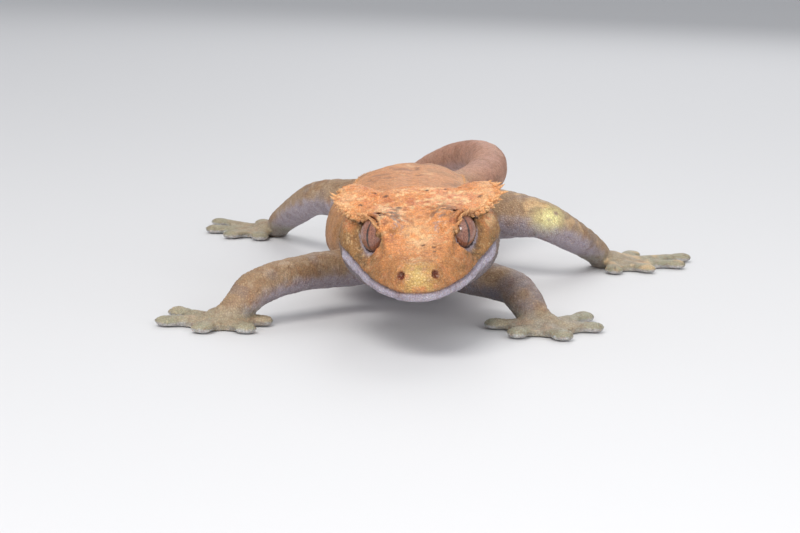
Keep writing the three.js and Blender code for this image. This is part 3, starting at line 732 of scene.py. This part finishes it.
# Dark freckles: x, y and z in the head's frame, and radius.
FRECKLES = [
    (-5.4, 26.0, 10.0, 0.55), (1.6, 27.5, 10.2, 0.45), (-3.2, 20.5, 9.4, 0.6), (-9.6, 23.0, 9.0, 0.4),
    (10.6, 24.0, 9.2, 0.42), (0.9, 8.6, 5.8, 0.34), (2.6, 7.8, 5.6, 0.36), (2.7, 6.6, 5.2, 0.26),
    (4.8, 28.2, 10.0, 0.4), (-7.4, 28.4, 9.6, 0.36),
]


def crown_colour(q, grain):
    """Orange with pink, rust and cream, brightest on the snout's bridge and the crest's outer third."""
    big, small, tiny = grain
    x, y, z = np.abs(q[:, 0]), q[:, 1], q[:, 2]
    edge = ramp(x, 8.5, 11.5) * ramp(z, 5.5, 7.0)
    return paint(
        ORANGE,
        (PINK, 0.45 * ramp(big, 0.1, 0.8)),
        (RUST, 0.65 * ramp(small + 0.5 * tiny, 0.1, 0.75)),
        (CREAM, 0.8 * ramp(0.6 * big - 0.5 * small + 0.4 * tiny, 0.15, 0.65)),
        (CREAM, 0.8 * bell(x, 2.6) * bell(y - 11.5, 4.5) * ramp(small, -0.6, 0.4)),
        (CREAM, 0.5 * edge * ramp(small + 0.5 * tiny, -0.4, 0.5)),
    )


def face_colour(c, q, n, grain):
    """Olive cheeks, browner towards the snout, then the brows and the muzzle."""
    big, small, tiny = grain
    x, y, z = np.abs(q[:, 0]), q[:, 1], q[:, 2]
    low = ramp(z - 0.05 * y + 0.3 * big, 4.0, 2.6) * ramp(y, 3, 10)
    side = np.maximum(ramp(n[:, 2] + 0.2 * big + 0.15 * small, 0.8, 0.3) * (z < 7.6), low)
    ahead = ramp(y, 16.0, 11.0)
    brow = bell(np.hypot(x - 4.2, (y - 17.5) * 0.55), 2.4) * (z > 6)
    muzzle = ramp(y - 0.5 * x + 1.2 * small, 12.0, 1.0)
    return paint(
        c,
        (OLIVE, (0.85 - 0.25 * ahead) * side * ramp(y, 1, 9)),
        (RUST, 0.3 * side * ahead * ramp(big - small, -0.4, 0.5)),
        (DARK_OLIVE, 0.6 * side * ramp(small + 0.4 * big, -0.1, 0.6) * ramp(y, 4, 12)),
        (CREAM, 0.5 * side * ramp(tiny, 0.4, 0.8)),
        (DARK_OLIVE, 0.8 * brow * ramp(small + 0.8 * tiny, -0.3, 0.4)),
        (LILAC, 0.4 * bell(np.hypot(x - 3.4, (y - 14.0) * 0.5), 1.4) * ramp(tiny, 0.0, 0.5)),
        (OLIVE, 0.55 * muzzle * ramp(big + small, -0.9, 0.5)),
        (BROWN, 0.4 * muzzle * ramp(tiny - small, 0.0, 0.7)),
        (YELLOW, 0.45 * bell(y - 0.8, 2.2) * bell(x, 2.4) * ramp(small, -0.7, 0.3)),
    )


def lip_colour(c, y, lift, small):
    """Lilac and pearl below the mouth, then grey, darkened under the jaw partly as painted shade, and dark
    in the mouth's groove.
    """
    below = ramp(lift, 0.15, -0.15)
    back = ramp(y, MOUTH_CORNER - 0.5, MOUTH_CORNER + 1.5)
    return paint(
        c,
        (LILAC, 0.92 * below * (1 - back)),
        (GREY, 0.75 * below * back),
        # Under the jaw the grey is partly the skin's own colour and partly painted shade on the underside.
        (GREY, 0.85 * ramp(lift, -2.5, -3.3)),
        (PEARL, 0.6 * bell(lift + 1.2, 0.8) * (1 - back) * ramp(small, -0.6, 0.4)),
        (SPOT, 0.55 * bell(lift, 0.22) * ramp(y, 23, 20)),
    )


def lid_colour(c, q, side):
    """The lids of one eye: lilac below, dark above, and dark inside the opening, which is painted shade in
    the gap round the eyeball.
    """
    centre, axis, across, up = eye_frame(side)
    e = q - centre
    off = np.hypot(e @ across, e @ up)
    lid = bell(off - 3.1, 0.55) * (e @ axis > 0.5)
    lower = ramp(-(e @ up), -0.4, 1.2)
    return paint(
        c,
        (LILAC, 0.75 * lid * lower),
        (SPOT, 0.5 * lid * (1 - lower)),
        # Painted shade: the skin inside the lid opening, in the gap round the eyeball, is painted dark.
        (SPOT, 0.85 * (off < EYE_OPENING + 0.05) * (e @ axis > 0)),
    )


def head_colour(p, normal):
    q = to_head(p)
    lift = q[:, 2] - mouth_height(q)
    grain = noise(q, 3.2, 31), noise(q, 0.9, 32), noise(q, 0.42, 33)
    c = face_colour(crown_colour(q, grain), q, normal @ HEAD_ROTATION, grain)
    c = lip_colour(c, q[:, 1], lift, grain[1])
    for side in (-1, 1):
        c = lid_colour(c, q, side)
    # Each nostril's pit is painted dark red, which is painted shade inside the hole.
    nostril = norm(np.abs(q * [1, 0, 0]) + q * [0, 1, 1] - NOSTRIL)
    c = mix(c, NOSTRIL_SHADE_RED, 0.95 * ramp(nostril, 1.0, 0.55))
    for x, y, z, radius in FRECKLES:
        away = np.hypot(q[:, 0] - x, q[:, 1] - y) + 0.12 * grain[2]
        c = mix(c, SPOT, 0.85 * ramp(away, radius * 1.25, radius * 0.6) * (q[:, 2] > z - 5))
    # Only the tip of the snout is wet.
    return c, bell(q[:, 1] - 0.8, 2.8) * ramp(lift, 0, 1.5)


def body_colour(p):
    """Tan and orange above, olive along the flanks, lilac below, and a pinkish tail."""
    index, side, up, _, columns = SPINE.nearest(p)
    t = SPINE.t[index]
    share = side / np.maximum(columns[:, 3], 1)
    high = up / np.maximum(columns[:, 4], 1)
    big, small, tiny = noise(p, 5.0, 41), noise(p, 1.3, 42), noise(p, 0.5, 43)
    return paint(
        TAN,
        (ORANGE, 0.55 * ramp(high + 0.2 * big, 0.2, 0.8) * ramp(t, 9.5, 6.0)),
        (OLIVE, 0.4 * ramp(noise(p, 7.0, 45), -0.3, 0.6)),
        (BROWN, 0.7 * ramp(big + 0.6 * small, -0.1, 0.8)),
        (CREAM, 0.35 * ramp(-big + 0.7 * small, 0.4, 1.0) * ramp(high, 0.1, 0.7)),
        (OLIVE, 0.45 * bell(high - 0.1, 0.4) * ramp(small, -0.6, 0.6)),
        (LILAC, 0.8 * ramp(high + 0.12 * big, -0.25, -0.7)),
        (CREAM, 0.15 * bell(np.abs(share) - CREST_OUT, 0.1) * (up > 0) * ramp(t, 9.5, 7.0)),
        (TAIL_PINK, 0.75 * ramp(t, 9.0, 11.5)),
        (BROWN, 0.45 * ramp(t, 9.5, 12.0) * ramp(small + 0.4 * big, 0.2, 0.8)),
        (SPOT, 0.5 * ramp(noise(p, 2.6, 44) + 0.15 * tiny, 0.62, 0.74) * ramp(high, 0.0, 0.5)),
    )


def limb_colour(p, normal, name):
    """Tan and grey-brown, with greenish toes whose pads have pale edges."""
    limb = LIMBS[name]
    px, py, pw = limb["palm"]
    x, y, z = p.T
    toe = ramp(np.hypot(x - px, y - py) - pw, 2.0, 5.0) * ramp(z, 3.0, 1.8)
    foot = ramp(z, 4.4, 2.2)
    big, small, tiny = noise(p, 3.6, 51), noise(p, 1.1, 52), noise(p, 0.45, 53)
    up = normal[:, 2]
    c = paint(
        LIMB_TAN,
        (BROWN, 0.45 * ramp(big + 0.5 * small, 0.1, 0.8)),
        (OLIVE, 0.4 * ramp(up + 0.3 * big, 0.0, 0.8)),
        (LIMB_PALE, 0.4 * ramp(-small + 0.4 * tiny, 0.2, 0.8)),
        (SLATE if name == "left_arm" else LILAC, 0.75 * ramp(up + 0.2 * small, 0.25, -0.5)),
        (GREY, 0.35 * ramp(noise(p, 2.2, 55), 0.2, 0.7) * (1 - foot)),
        (SLATE, 0.55 * ramp(big, -0.7, 0.3) * (name == "left_arm")),
        (TOE, 0.6 * foot),
        (FOOT_GREEN, 0.5 * foot * ramp(small + 0.5 * tiny, 0.1, 0.7)),
        (FOOT_PINK, 0.35 * foot * ramp(big + 0.4 * small, 0.1, 0.7) * ramp(up, 0.2, 0.8)),
        (PAD_GREEN, 0.4 * toe),
        (PAD_EDGE, 0.7 * toe * ramp(z + 0.25 * tiny, 1.0, 0.5)),
    )
    if name == "left_leg":
        # A bright patch lies over this knee.
        off = p - limb["spots"][3][:3] - KNEE_PATCH
        patch = bell(norm(off * KNEE_PATCH_SHAPE), 2.1)
        c = mix(c, KNEE_YELLOW, 1.2 * patch * ramp(small, -1.0, -0.3))
        c = mix(c, CREAM, 0.4 * ramp(noise(p, 1.9, 54), 0.25, 0.6) * ramp(up, -0.2, 0.4))
    return c


def skin_colours(p, normal):
    """Colour and wetness of each vertex, blended where parts meet."""
    fields = part_fields(p)
    distance = np.stack(list(fields.values()), 1)
    weight = np.exp(-(distance - distance.min(1, keepdims=True)) / 0.7)
    weight /= weight.sum(1, keepdims=True)
    colour, wet = np.zeros((len(p), 3)), np.zeros(len(p))
    for k, name in enumerate(fields):
        some = weight[:, k] > 0.004
        if name == "head":
            c, w = head_colour(p[some], normal[some])
            wet[some] = weight[some, k] * w
        elif name == "trunk":
            c = body_colour(p[some])
        else:
            c = limb_colour(p[some], normal[some], name)
        colour[some] += weight[some, k : k + 1] * c
    return colour, wet


def place_shift():
    """From the plan frame to the row frame, in millimetres, by the place of the left eye."""
    low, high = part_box("eye_left")
    return np.array((low + high) / 2) / MM - from_head(EYE_CENTRE)


SHIFT = place_shift()


# How a mesh stores one number, a vector or a colour for each vertex.
LAYERS = {1: ("FLOAT", "value"), 3: ("FLOAT_VECTOR", "vector"), 4: ("FLOAT_COLOR", "color")}


def add_object(name, data):
    obj = bpy.data.objects.new(name, data)
    bpy.context.scene.collection.objects.link(obj)
    return obj


def add_mesh(name, vertices, faces, attributes):
    mesh = bpy.data.meshes.new(name)
    corners = faces if isinstance(faces, list) else faces.tolist()
    mesh.from_pydata(((vertices + SHIFT) * MM).tolist(), [], corners)
    for key, values in attributes.items():
        kind, field = LAYERS[values.size // len(values)]
        layer = mesh.attributes.new(key, kind, "POINT")
        layer.data.foreach_set(field, values.astype(np.float32).ravel())
    mesh.polygons.foreach_set("use_smooth", [True] * len(mesh.polygons))
    mesh.validate()
    return add_object(name, mesh)


def with_alpha(colour):
    return np.insert(np.clip(colour, 0, 1), 3, 1, axis=1)


def relief(p):
    """Heights over the skin: scales, larger on the head, warts on top of the head, and soft folds."""
    q = to_head(p)
    first, second = granules(p, 0.62, 61)
    head = ramp(q[:, 1], 36, 30)
    size = 0.085 * head + 0.035
    height = size * (ramp(second - first, 0.0, 0.45) - 0.6)
    warts, _ = granules(p, 1.7, 62)
    height += 0.11 * head * ramp(warts, 0.34, 0.1) * (q[:, 2] > 2)
    return height + (0.1 * noise(p, 2.6, 63) + 0.045 * noise(p, 1.1, 64))


def build_skin():
    values, axes = grid_values()
    p, quads = surface_net(values, axes)
    p = settle(p, 2)
    _, slope = slope_of(p)
    normal = unit(slope)
    flat = ramp(p[:, 2], 0.05, 0.5)
    p = p + normal * (relief(p) * flat)[:, None]
    p[:, 2] = np.maximum(p[:, 2], 0)
    colour, wet = skin_colours(p, normal)
    return add_mesh("skin", p, quads, {"tint": with_alpha(colour), "wet": wet})


def spine_mesh(roots, ways, lengths, radii, bends):
    """Tapered, bent spines in one mesh, roots sunk. Returns vertices, faces and shares of length."""
    sides, levels = 6, (-0.6, 0.0, 0.35, 0.7, 1.0)
    shares = (1.0, 1.0, 0.72, 0.4, 0.08)
    vertices, faces, share_of = [], [], []
    for root, way, length, radius, bend in zip(roots, ways, lengths, radii, bends):
        root, way, bend = np.array(root), unit(np.array(way)), np.array(bend)
        side = unit(np.cross(way, [0.13, 0.2, 0.97]))
        other = np.cross(way, side)
        start = len(vertices)
        for level, share in zip(levels, shares):
            place = root + way * length * level if level > 0 else root + way * radius * level * 1.6
            place = place + bend * length * max(level, 0) ** 2
            for k in range(sides):
                angle = 2 * np.pi * k / sides
                vertices.append(place + radius * share * (side * np.cos(angle) + other * np.sin(angle)))
                share_of.append(max(level, 0))
        for j in range(len(levels) - 1):
            for k in range(sides):
                a, b = start + j * sides + k, start + j * sides + (k + 1) % sides
                faces.append((a, b, b + sides, a + sides))
        faces.append(tuple(range(start, start + sides))[::-1])
        faces.append(tuple(range(len(vertices) - sides, len(vertices))))
    return np.array(vertices), faces, np.array(share_of)


def head_crest_spines(side, random):
    """Spines along one head crest in two tiers, longest at its rear corner."""
    rows = [(r[0] * side, *r[1:]) for r in HEAD_CREST]
    for k in range(CREST_COUNT):
        share = (k + 0.5 * random.random()) / CREST_COUNT
        t = 0.9 + share * (len(rows) - 2.2)
        x, y, z, w, _ = catmull(rows, [t])[0]
        ahead = catmull(rows, [min(t + 0.1, len(rows) - 1)])[0]
        along = unit(np.array([ahead[0] - x, ahead[1] - y, 0]))
        out = np.array([along[1], -along[0], 0]) * side
        tier = k % 2
        corner = bell(y - 26.5, 5.0)
        root = np.array([x, y, z - 0.5 * tier]) + out * (w - 0.5 - 0.2 * tier)
        size = 0.22 + 0.95 * corner
        length = size * (1.0 + 0.6 * random.random()) * (0.8 if tier else 1.0)
        # The right side's rear spines fan out, and the left side's lie flatter.
        fan = 0.55 * corner if side < 0 else 0.15
        lift = random.uniform(-0.1, 0.3) + fan * (1 - 2 * tier) - 0.15 * tier
        way = out + np.array([0, random.uniform(-0.3, 0.35), lift])
        yield from_head(root), HEAD_ROTATION @ way, length, 0.28 + 0.17 * size, (0, 0.15, 0.08)


def lashes(side, random):
    """The lash spines over the front of one eye."""
    for k in range(LASH_COUNT):
        share = k / (LASH_COUNT - 1)
        root = [(6.6 + 2.9 * share) * side, 13.0 + 5.6 * share, 7.6 + 0.7 * share]
        way = [(0.6 + 0.3 * share) * side, -0.7 + 0.5 * share, 0.5 + 0.4 * random.random()]
        yield from_head(root), HEAD_ROTATION @ way, 0.9 + 0.7 * random.random(), 0.3, (0, 0.1, 0.15)


def back_spines(side, random):
    """The row of small spines down one side of the neck and back."""
    for k in range(BACK_COUNT):
        share = k / BACK_COUNT
        row = catmull(SPINE_LINE, [1.1 + 7.6 * k / BACK_COUNT])[0]
        rise = row[4] * (1 - CREST_OUT**SPINE_POWER) ** (1 / SPINE_POWER)
        root = row[0] + side * row[3] * CREST_OUT, row[1], row[2] + rise + 0.25
        length = (0.75 - 0.5 * share) * (0.75 + 0.5 * random.random())
        way = 0.7 * side + random.uniform(-0.15, 0.15), 0.5, 0.6
        yield root, way, length, 0.2, (0, 0.3, 0)


def crest_spines(random):
    """Every spine of the skin in one mesh, in the skin's own colours, brighter on the head."""
    spines = []
    for side in (-1, 1):
        for row in (head_crest_spines, lashes, back_spines):
            spines.extend(row(side, random))
    roots, ways, lengths, radii, bends = zip(*spines)
    roots = settle(np.array(roots), 4)
    vertices, faces, share = spine_mesh(roots, ways, lengths, radii, bends)
    colour, _ = skin_colours(vertices, np.tile([0.0, 0.0, 1.0], (len(vertices), 1)))
    ahead = ramp(vertices[:, 1], 40, 34)
    colour = mix(colour, ORANGE, 0.6 * ahead)
    colour = mix(colour, CREAM, (0.15 + 0.3 * share) * (0.25 + 0.75 * ahead))
    return add_mesh("crest_spines", vertices, faces, {"tint": with_alpha(colour), "wet": 0 * share})


def claws():
    """A small hooked claw over the end of each toe."""
    hooks = []
    for limb in LIMBS.values():
        for tip in limb["toes"]:
            _, way = toe_rows(limb["palm"], tip, limb["palm"][2])
            hooks.append(((*(tip - way), 1.35), (*way, 0.25), CLAW_LENGTH, CLAW_RADIUS, (0, 0, -0.55)))
    vertices, faces, share = spine_mesh(*zip(*hooks))
    vertices[:, 2] = np.maximum(vertices[:, 2], 0.08)
    return add_mesh("claws", vertices, faces, {"share": share})


def eyeball(side):
    """A ball, with each vertex's place across, up and along the way that it looks."""
    centre, axis, across, up = eye_frame(side, EYE_GAZE)
    polar = np.repeat(np.pi * np.arange(EYE_RINGS + 1) / EYE_RINGS, EYE_SIDES)
    angle = np.tile(2 * np.pi * np.arange(EYE_SIDES) / EYE_SIDES, EYE_RINGS + 1)
    out = np.sin(polar)
    gaze = EYE_RADIUS * np.stack([out * np.cos(angle), out * np.sin(angle), np.cos(polar)], 1)
    faces = []
    for i in range(0, EYE_RINGS * EYE_SIDES, EYE_SIDES):
        for j in range(EYE_SIDES):
            a, b = i + j, i + (j + 1) % EYE_SIDES
            faces.append((a, a + EYE_SIDES, b + EYE_SIDES, b))
    name = "eyeball_left" if side > 0 else "eyeball_right"
    return add_mesh(name, from_head(centre + gaze @ [across, up, axis]), faces, {"gaze": gaze})


class Nodes:
    """A material's node tree, with short calls for the nodes that this scene uses."""

    def __init__(self, name):
        self.material = bpy.data.materials.new(name)
        self.material.use_nodes = True
        self.tree = self.material.node_tree
        self.tree.nodes.clear()
        self.shader = self.tree.nodes.new("ShaderNodeBsdfPrincipled")
        output = self.tree.nodes.new("ShaderNodeOutputMaterial")
        self.tree.links.new(self.shader.outputs[0], output.inputs["Surface"])

    def put(self, node, inputs):
        """Links or sets a node's inputs, by name or number."""
        for key, value in inputs.items():
            if hasattr(value, "is_output"):
                self.tree.links.new(value, node.inputs[key])
            else:
                node.inputs[key].default_value = value

    def add(self, kind, inputs, **settings):
        node = self.tree.nodes.new("ShaderNode" + kind)
        for key, value in settings.items():
            setattr(node, key, value)
        self.put(node, inputs)
        return node.outputs

    def shade(self, inputs):
        """Sets the shader's inputs and returns the material."""
        self.put(self.shader, inputs)
        return self.material

    def math(self, operation, a, b=0.0):
        return self.add("Math", {0: a, 1: b}, operation=operation)[0]

    def attribute(self, name, output):
        return self.add("Attribute", {}, attribute_name=name)[output]

    def noise(self, place, scale, detail=3.0, roughness=0.55):
        inputs = {"Vector": place, "Scale": scale, "Detail": detail, "Roughness": roughness}
        return self.add("TexNoise", inputs)["Fac"]

    def voronoi(self, place, scale, feature="F1"):
        return self.add("TexVoronoi", {"Vector": place, "Scale": scale}, feature=feature)["Distance"]

    def spread(self, value, low, high, to_low=0.0, to_high=1.0):
        return self.add("MapRange", dict(enumerate((value, low, high, to_low, to_high))))[0]

    def mix(self, amount, a, b):
        return self.add("Mix", {"Factor": amount, 6: a, 7: b}, data_type="RGBA")[2]

    def bump(self, height, strength, distance, below=None):
        inputs = {"Height": height, "Strength": strength, "Distance": distance}
        if below is not None:
            inputs["Normal"] = below
        return self.add("Bump", inputs)[0]


def rgba(red, green, blue):
    """A screen colour for a node's input."""
    return (*linear(red, green, blue), 1.0)


SCALE_SEAM = rgba(70, 44, 30)
SPECKLE = rgba(246, 214, 168)
MOTTLE = rgba(96, 58, 36)
SCALE_DENSITY = 2300.0  # scales to a metre
IRIS_DARK, IRIS_LIGHT = rgba(92, 48, 34), rgba(146, 88, 66)
IRIS_VEIN, IRIS_EDGE, IRIS_RIM = rgba(196, 142, 112), rgba(40, 22, 16), rgba(84, 44, 28)
PUPIL = rgba(10, 7, 6)
PUPIL_HALF_HEIGHT = 2.75
PUPIL_HALF_WIDTH = 0.15
HORN_DARK, HORN_LIGHT, HORN_TIP = rgba(46, 38, 32), rgba(74, 62, 50), rgba(150, 136, 112)


def skin_material():
    n = Nodes("gecko_skin")
    place = n.add("TexCoord", {})["Object"]
    scales = n.voronoi(place, SCALE_DENSITY)
    seams = n.spread(n.voronoi(place, SCALE_DENSITY, "DISTANCE_TO_EDGE"), 0.0, 0.22)
    speckle = n.noise(place, 3200.0, 2.0)
    mottle = n.noise(place, 900.0, 4.0, 0.65)
    shaded = n.mix(n.spread(seams, 0.0, 1.0, 0.34, 0.0), n.attribute("tint", "Color"), SCALE_SEAM)
    shaded = n.mix(n.spread(speckle, 0.56, 0.78, 0.0, 0.32), shaded, SPECKLE)
    shaded = n.mix(n.spread(mottle, 0.3, 0.5, 0.42, 0.0), shaded, MOTTLE)
    gloss = n.math("MULTIPLY", n.attribute("wet", "Fac"), 0.36)
    pebbles = n.math("SUBTRACT", seams, n.math("MULTIPLY", scales, 0.5))
    return n.shade({
        "Base Color": shaded,
        "Roughness": n.math("SUBTRACT", n.spread(mottle, 0.2, 0.8, 0.62, 0.42), gloss),
        "Normal": n.bump(mottle, 0.35, 0.00025, n.bump(pebbles, 0.55, 0.00012)),
        "Subsurface Weight": 0.12,
        "Subsurface Radius": (1.0, 0.45, 0.25),
        "Subsurface Scale": 0.0012,
        "Specular IOR Level": 0.45,
    })


def eye_material():
    n = Nodes("gecko_eye")
    gaze = n.attribute("gaze", "Vector")
    across, up, _ = n.add("SeparateXYZ", {0: gaze})
    # The slit is widest in the middle and crinkled along its edges.
    height = n.math("ABSOLUTE", n.math("DIVIDE", up, PUPIL_HALF_HEIGHT))
    taper = n.math("SUBTRACT", 1.0, n.math("POWER", height, 2.0))
    crinkle = n.math("ADD", 1.0, n.math("MULTIPLY", n.math("SINE", n.math("MULTIPLY", up, 7.5)), 0.22))
    width = n.math("MULTIPLY", n.math("MULTIPLY", taper, PUPIL_HALF_WIDTH), crinkle)
    outside = n.math("SUBTRACT", n.math("ABSOLUTE", across), width)
    # Veins and fibres run up and down more than across.
    long_grain = n.add("Mapping", {"Vector": gaze, "Scale": (1.0, 0.55, 1.0)})[0]
    veins = n.voronoi(long_grain, 3.4, "DISTANCE_TO_EDGE")
    fibres = n.noise(long_grain, 5.5, 6.0, 0.7)
    iris = n.mix(n.spread(fibres, 0.35, 0.65), IRIS_DARK, IRIS_LIGHT)
    iris = n.mix(n.spread(veins, 0.0, 0.08, 0.55, 0.0), iris, IRIS_VEIN)
    radius = n.math("SQRT", n.math("ADD", n.math("MULTIPLY", across, across), n.math("MULTIPLY", up, up)))
    iris = n.mix(n.spread(radius, 2.1, 2.95, 0.0, 0.8), iris, IRIS_EDGE)
    iris = n.mix(n.spread(outside, 0.0, 0.3, 0.5, 0.0), iris, IRIS_RIM)
    return n.shade({
        "Base Color": n.mix(n.spread(outside, -0.04, 0.06, 1.0, 0.0), iris, PUPIL),
        "Normal": n.bump(fibres, 0.2, 0.0001),
        "Roughness": 0.4,
        "Coat Weight": 1.0,
        "Coat Roughness": 0.03,
    })


def claw_material():
    n = Nodes("claw_horn")
    grain = n.noise(n.add("TexCoord", {})["Object"], 2500.0)
    horn = n.mix(n.spread(grain, 0.3, 0.7), HORN_DARK, HORN_LIGHT)
    tip = n.spread(n.attribute("share", "Fac"), 0.5, 1.0, 0.0, 0.7)
    return n.shade({
        "Base Color": n.mix(tip, horn, HORN_TIP),
        "Roughness": n.spread(grain, 0.2, 0.8, 0.25, 0.4),
    })


# Each light: place, size, power and colour. The two spots give each eye its bright spot.
LIGHTS = {
    "key": ((-0.25, -0.45, 0.75), 0.5, 4.9, (1.0, 0.98, 0.95)),
    "fill": ((0.7, -0.5, 0.45), 0.7, 1.4, (1, 1, 1)),
    "back": ((0.2, 0.8, 0.6), 0.6, 2.4, (1, 1, 1)),
    "left_spot": ((0.26, -0.55, 0.2), 0.13, 0.8, (1, 1, 1)),
    "right_spot": ((-0.2, -0.6, 0.2), 0.13, 0.9, (1, 1, 1)),
}
LIT_PLACE = Vector((0.0, -0.03, 0.01))
SKY = (0.86, 0.88, 0.92, 1)
SKY_STRENGTH = 0.6
FLOOR_COLOUR = (0.63, 0.63, 0.64, 1)
FLOOR_HALF = 6.0
FLOOR_DROP = 0.00005  # how far the floor lies below the feet


def add_floor():
    r = FLOOR_HALF
    mesh = bpy.data.meshes.new("floor")
    mesh.from_pydata([(-r, -r, 0), (r, -r, 0), (r, r, 0), (-r, r, 0)], [], [(0, 1, 2, 3)])
    floor = add_object("floor", mesh)
    floor.location.z = -FLOOR_DROP
    pale = Nodes("pale_floor").shade({"Base Color": FLOOR_COLOUR, "Roughness": 0.6})
    floor.data.materials.append(pale)


def add_lights():
    for name, (place, size, power, colour) in LIGHTS.items():
        light = bpy.data.lights.new(name, "AREA")
        light.size = size
        light.energy = power
        light.color = colour
        obj = add_object(name, light)
        obj.location = place
        obj.rotation_euler = (LIT_PLACE - Vector(place)).to_track_quat("-Z", "Y").to_euler()
    world = bpy.data.worlds.new("studio")
    world.use_nodes = True
    background = world.node_tree.nodes["Background"]
    background.inputs["Color"].default_value = SKY
    background.inputs["Strength"].default_value = SKY_STRENGTH
    bpy.context.scene.world = world
    bpy.context.scene.view_settings.view_transform = "Standard"


# The camera stands in front of the snout, a little above the head, as far off as the photo's own.
CAMERA_PLACE = np.array([0.0, -349.8, 70.27])
CAMERA_TILT = 8.93  # degrees below level
CAMERA_ROLL = 1.88
LENS = 100.0
SENSOR = 36.0


def add_camera():
    data = bpy.data.cameras.new("camera")
    data.lens = LENS
    data.sensor_width = SENSOR
    data.clip_start = 0.01
    data.clip_end = 50
    camera = add_object("camera", data)
    look = Matrix.Rotation(np.radians(90 - CAMERA_TILT), 4, "X")
    roll = Matrix.Rotation(np.radians(CAMERA_ROLL), 4, "Z")
    place = Matrix.Translation(Vector((CAMERA_PLACE + SHIFT) * MM))
    camera.matrix_world = place @ look @ roll
    bpy.context.scene.camera = camera


def main():
    random = np.random.default_rng(SEED)
    skin, spines = build_skin(), crest_spines(random)
    coat = skin_material()
    for piece in (skin, spines):
        piece.data.materials.append(coat)
        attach(piece, "root")
    flesh = [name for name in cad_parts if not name.startswith("eye")]
    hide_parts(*flesh)
    nails = claws()
    nails.data.materials.append(claw_material())
    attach(nails, "root")
    iris = eye_material()
    for side, node in ((-1, "eye_right"), (1, "eye_left")):
        ball = eyeball(side)
        ball.data.materials.append(iris)
        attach(ball, "root")
        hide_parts(node)
    add_floor()
    add_lights()
    add_camera()


main()
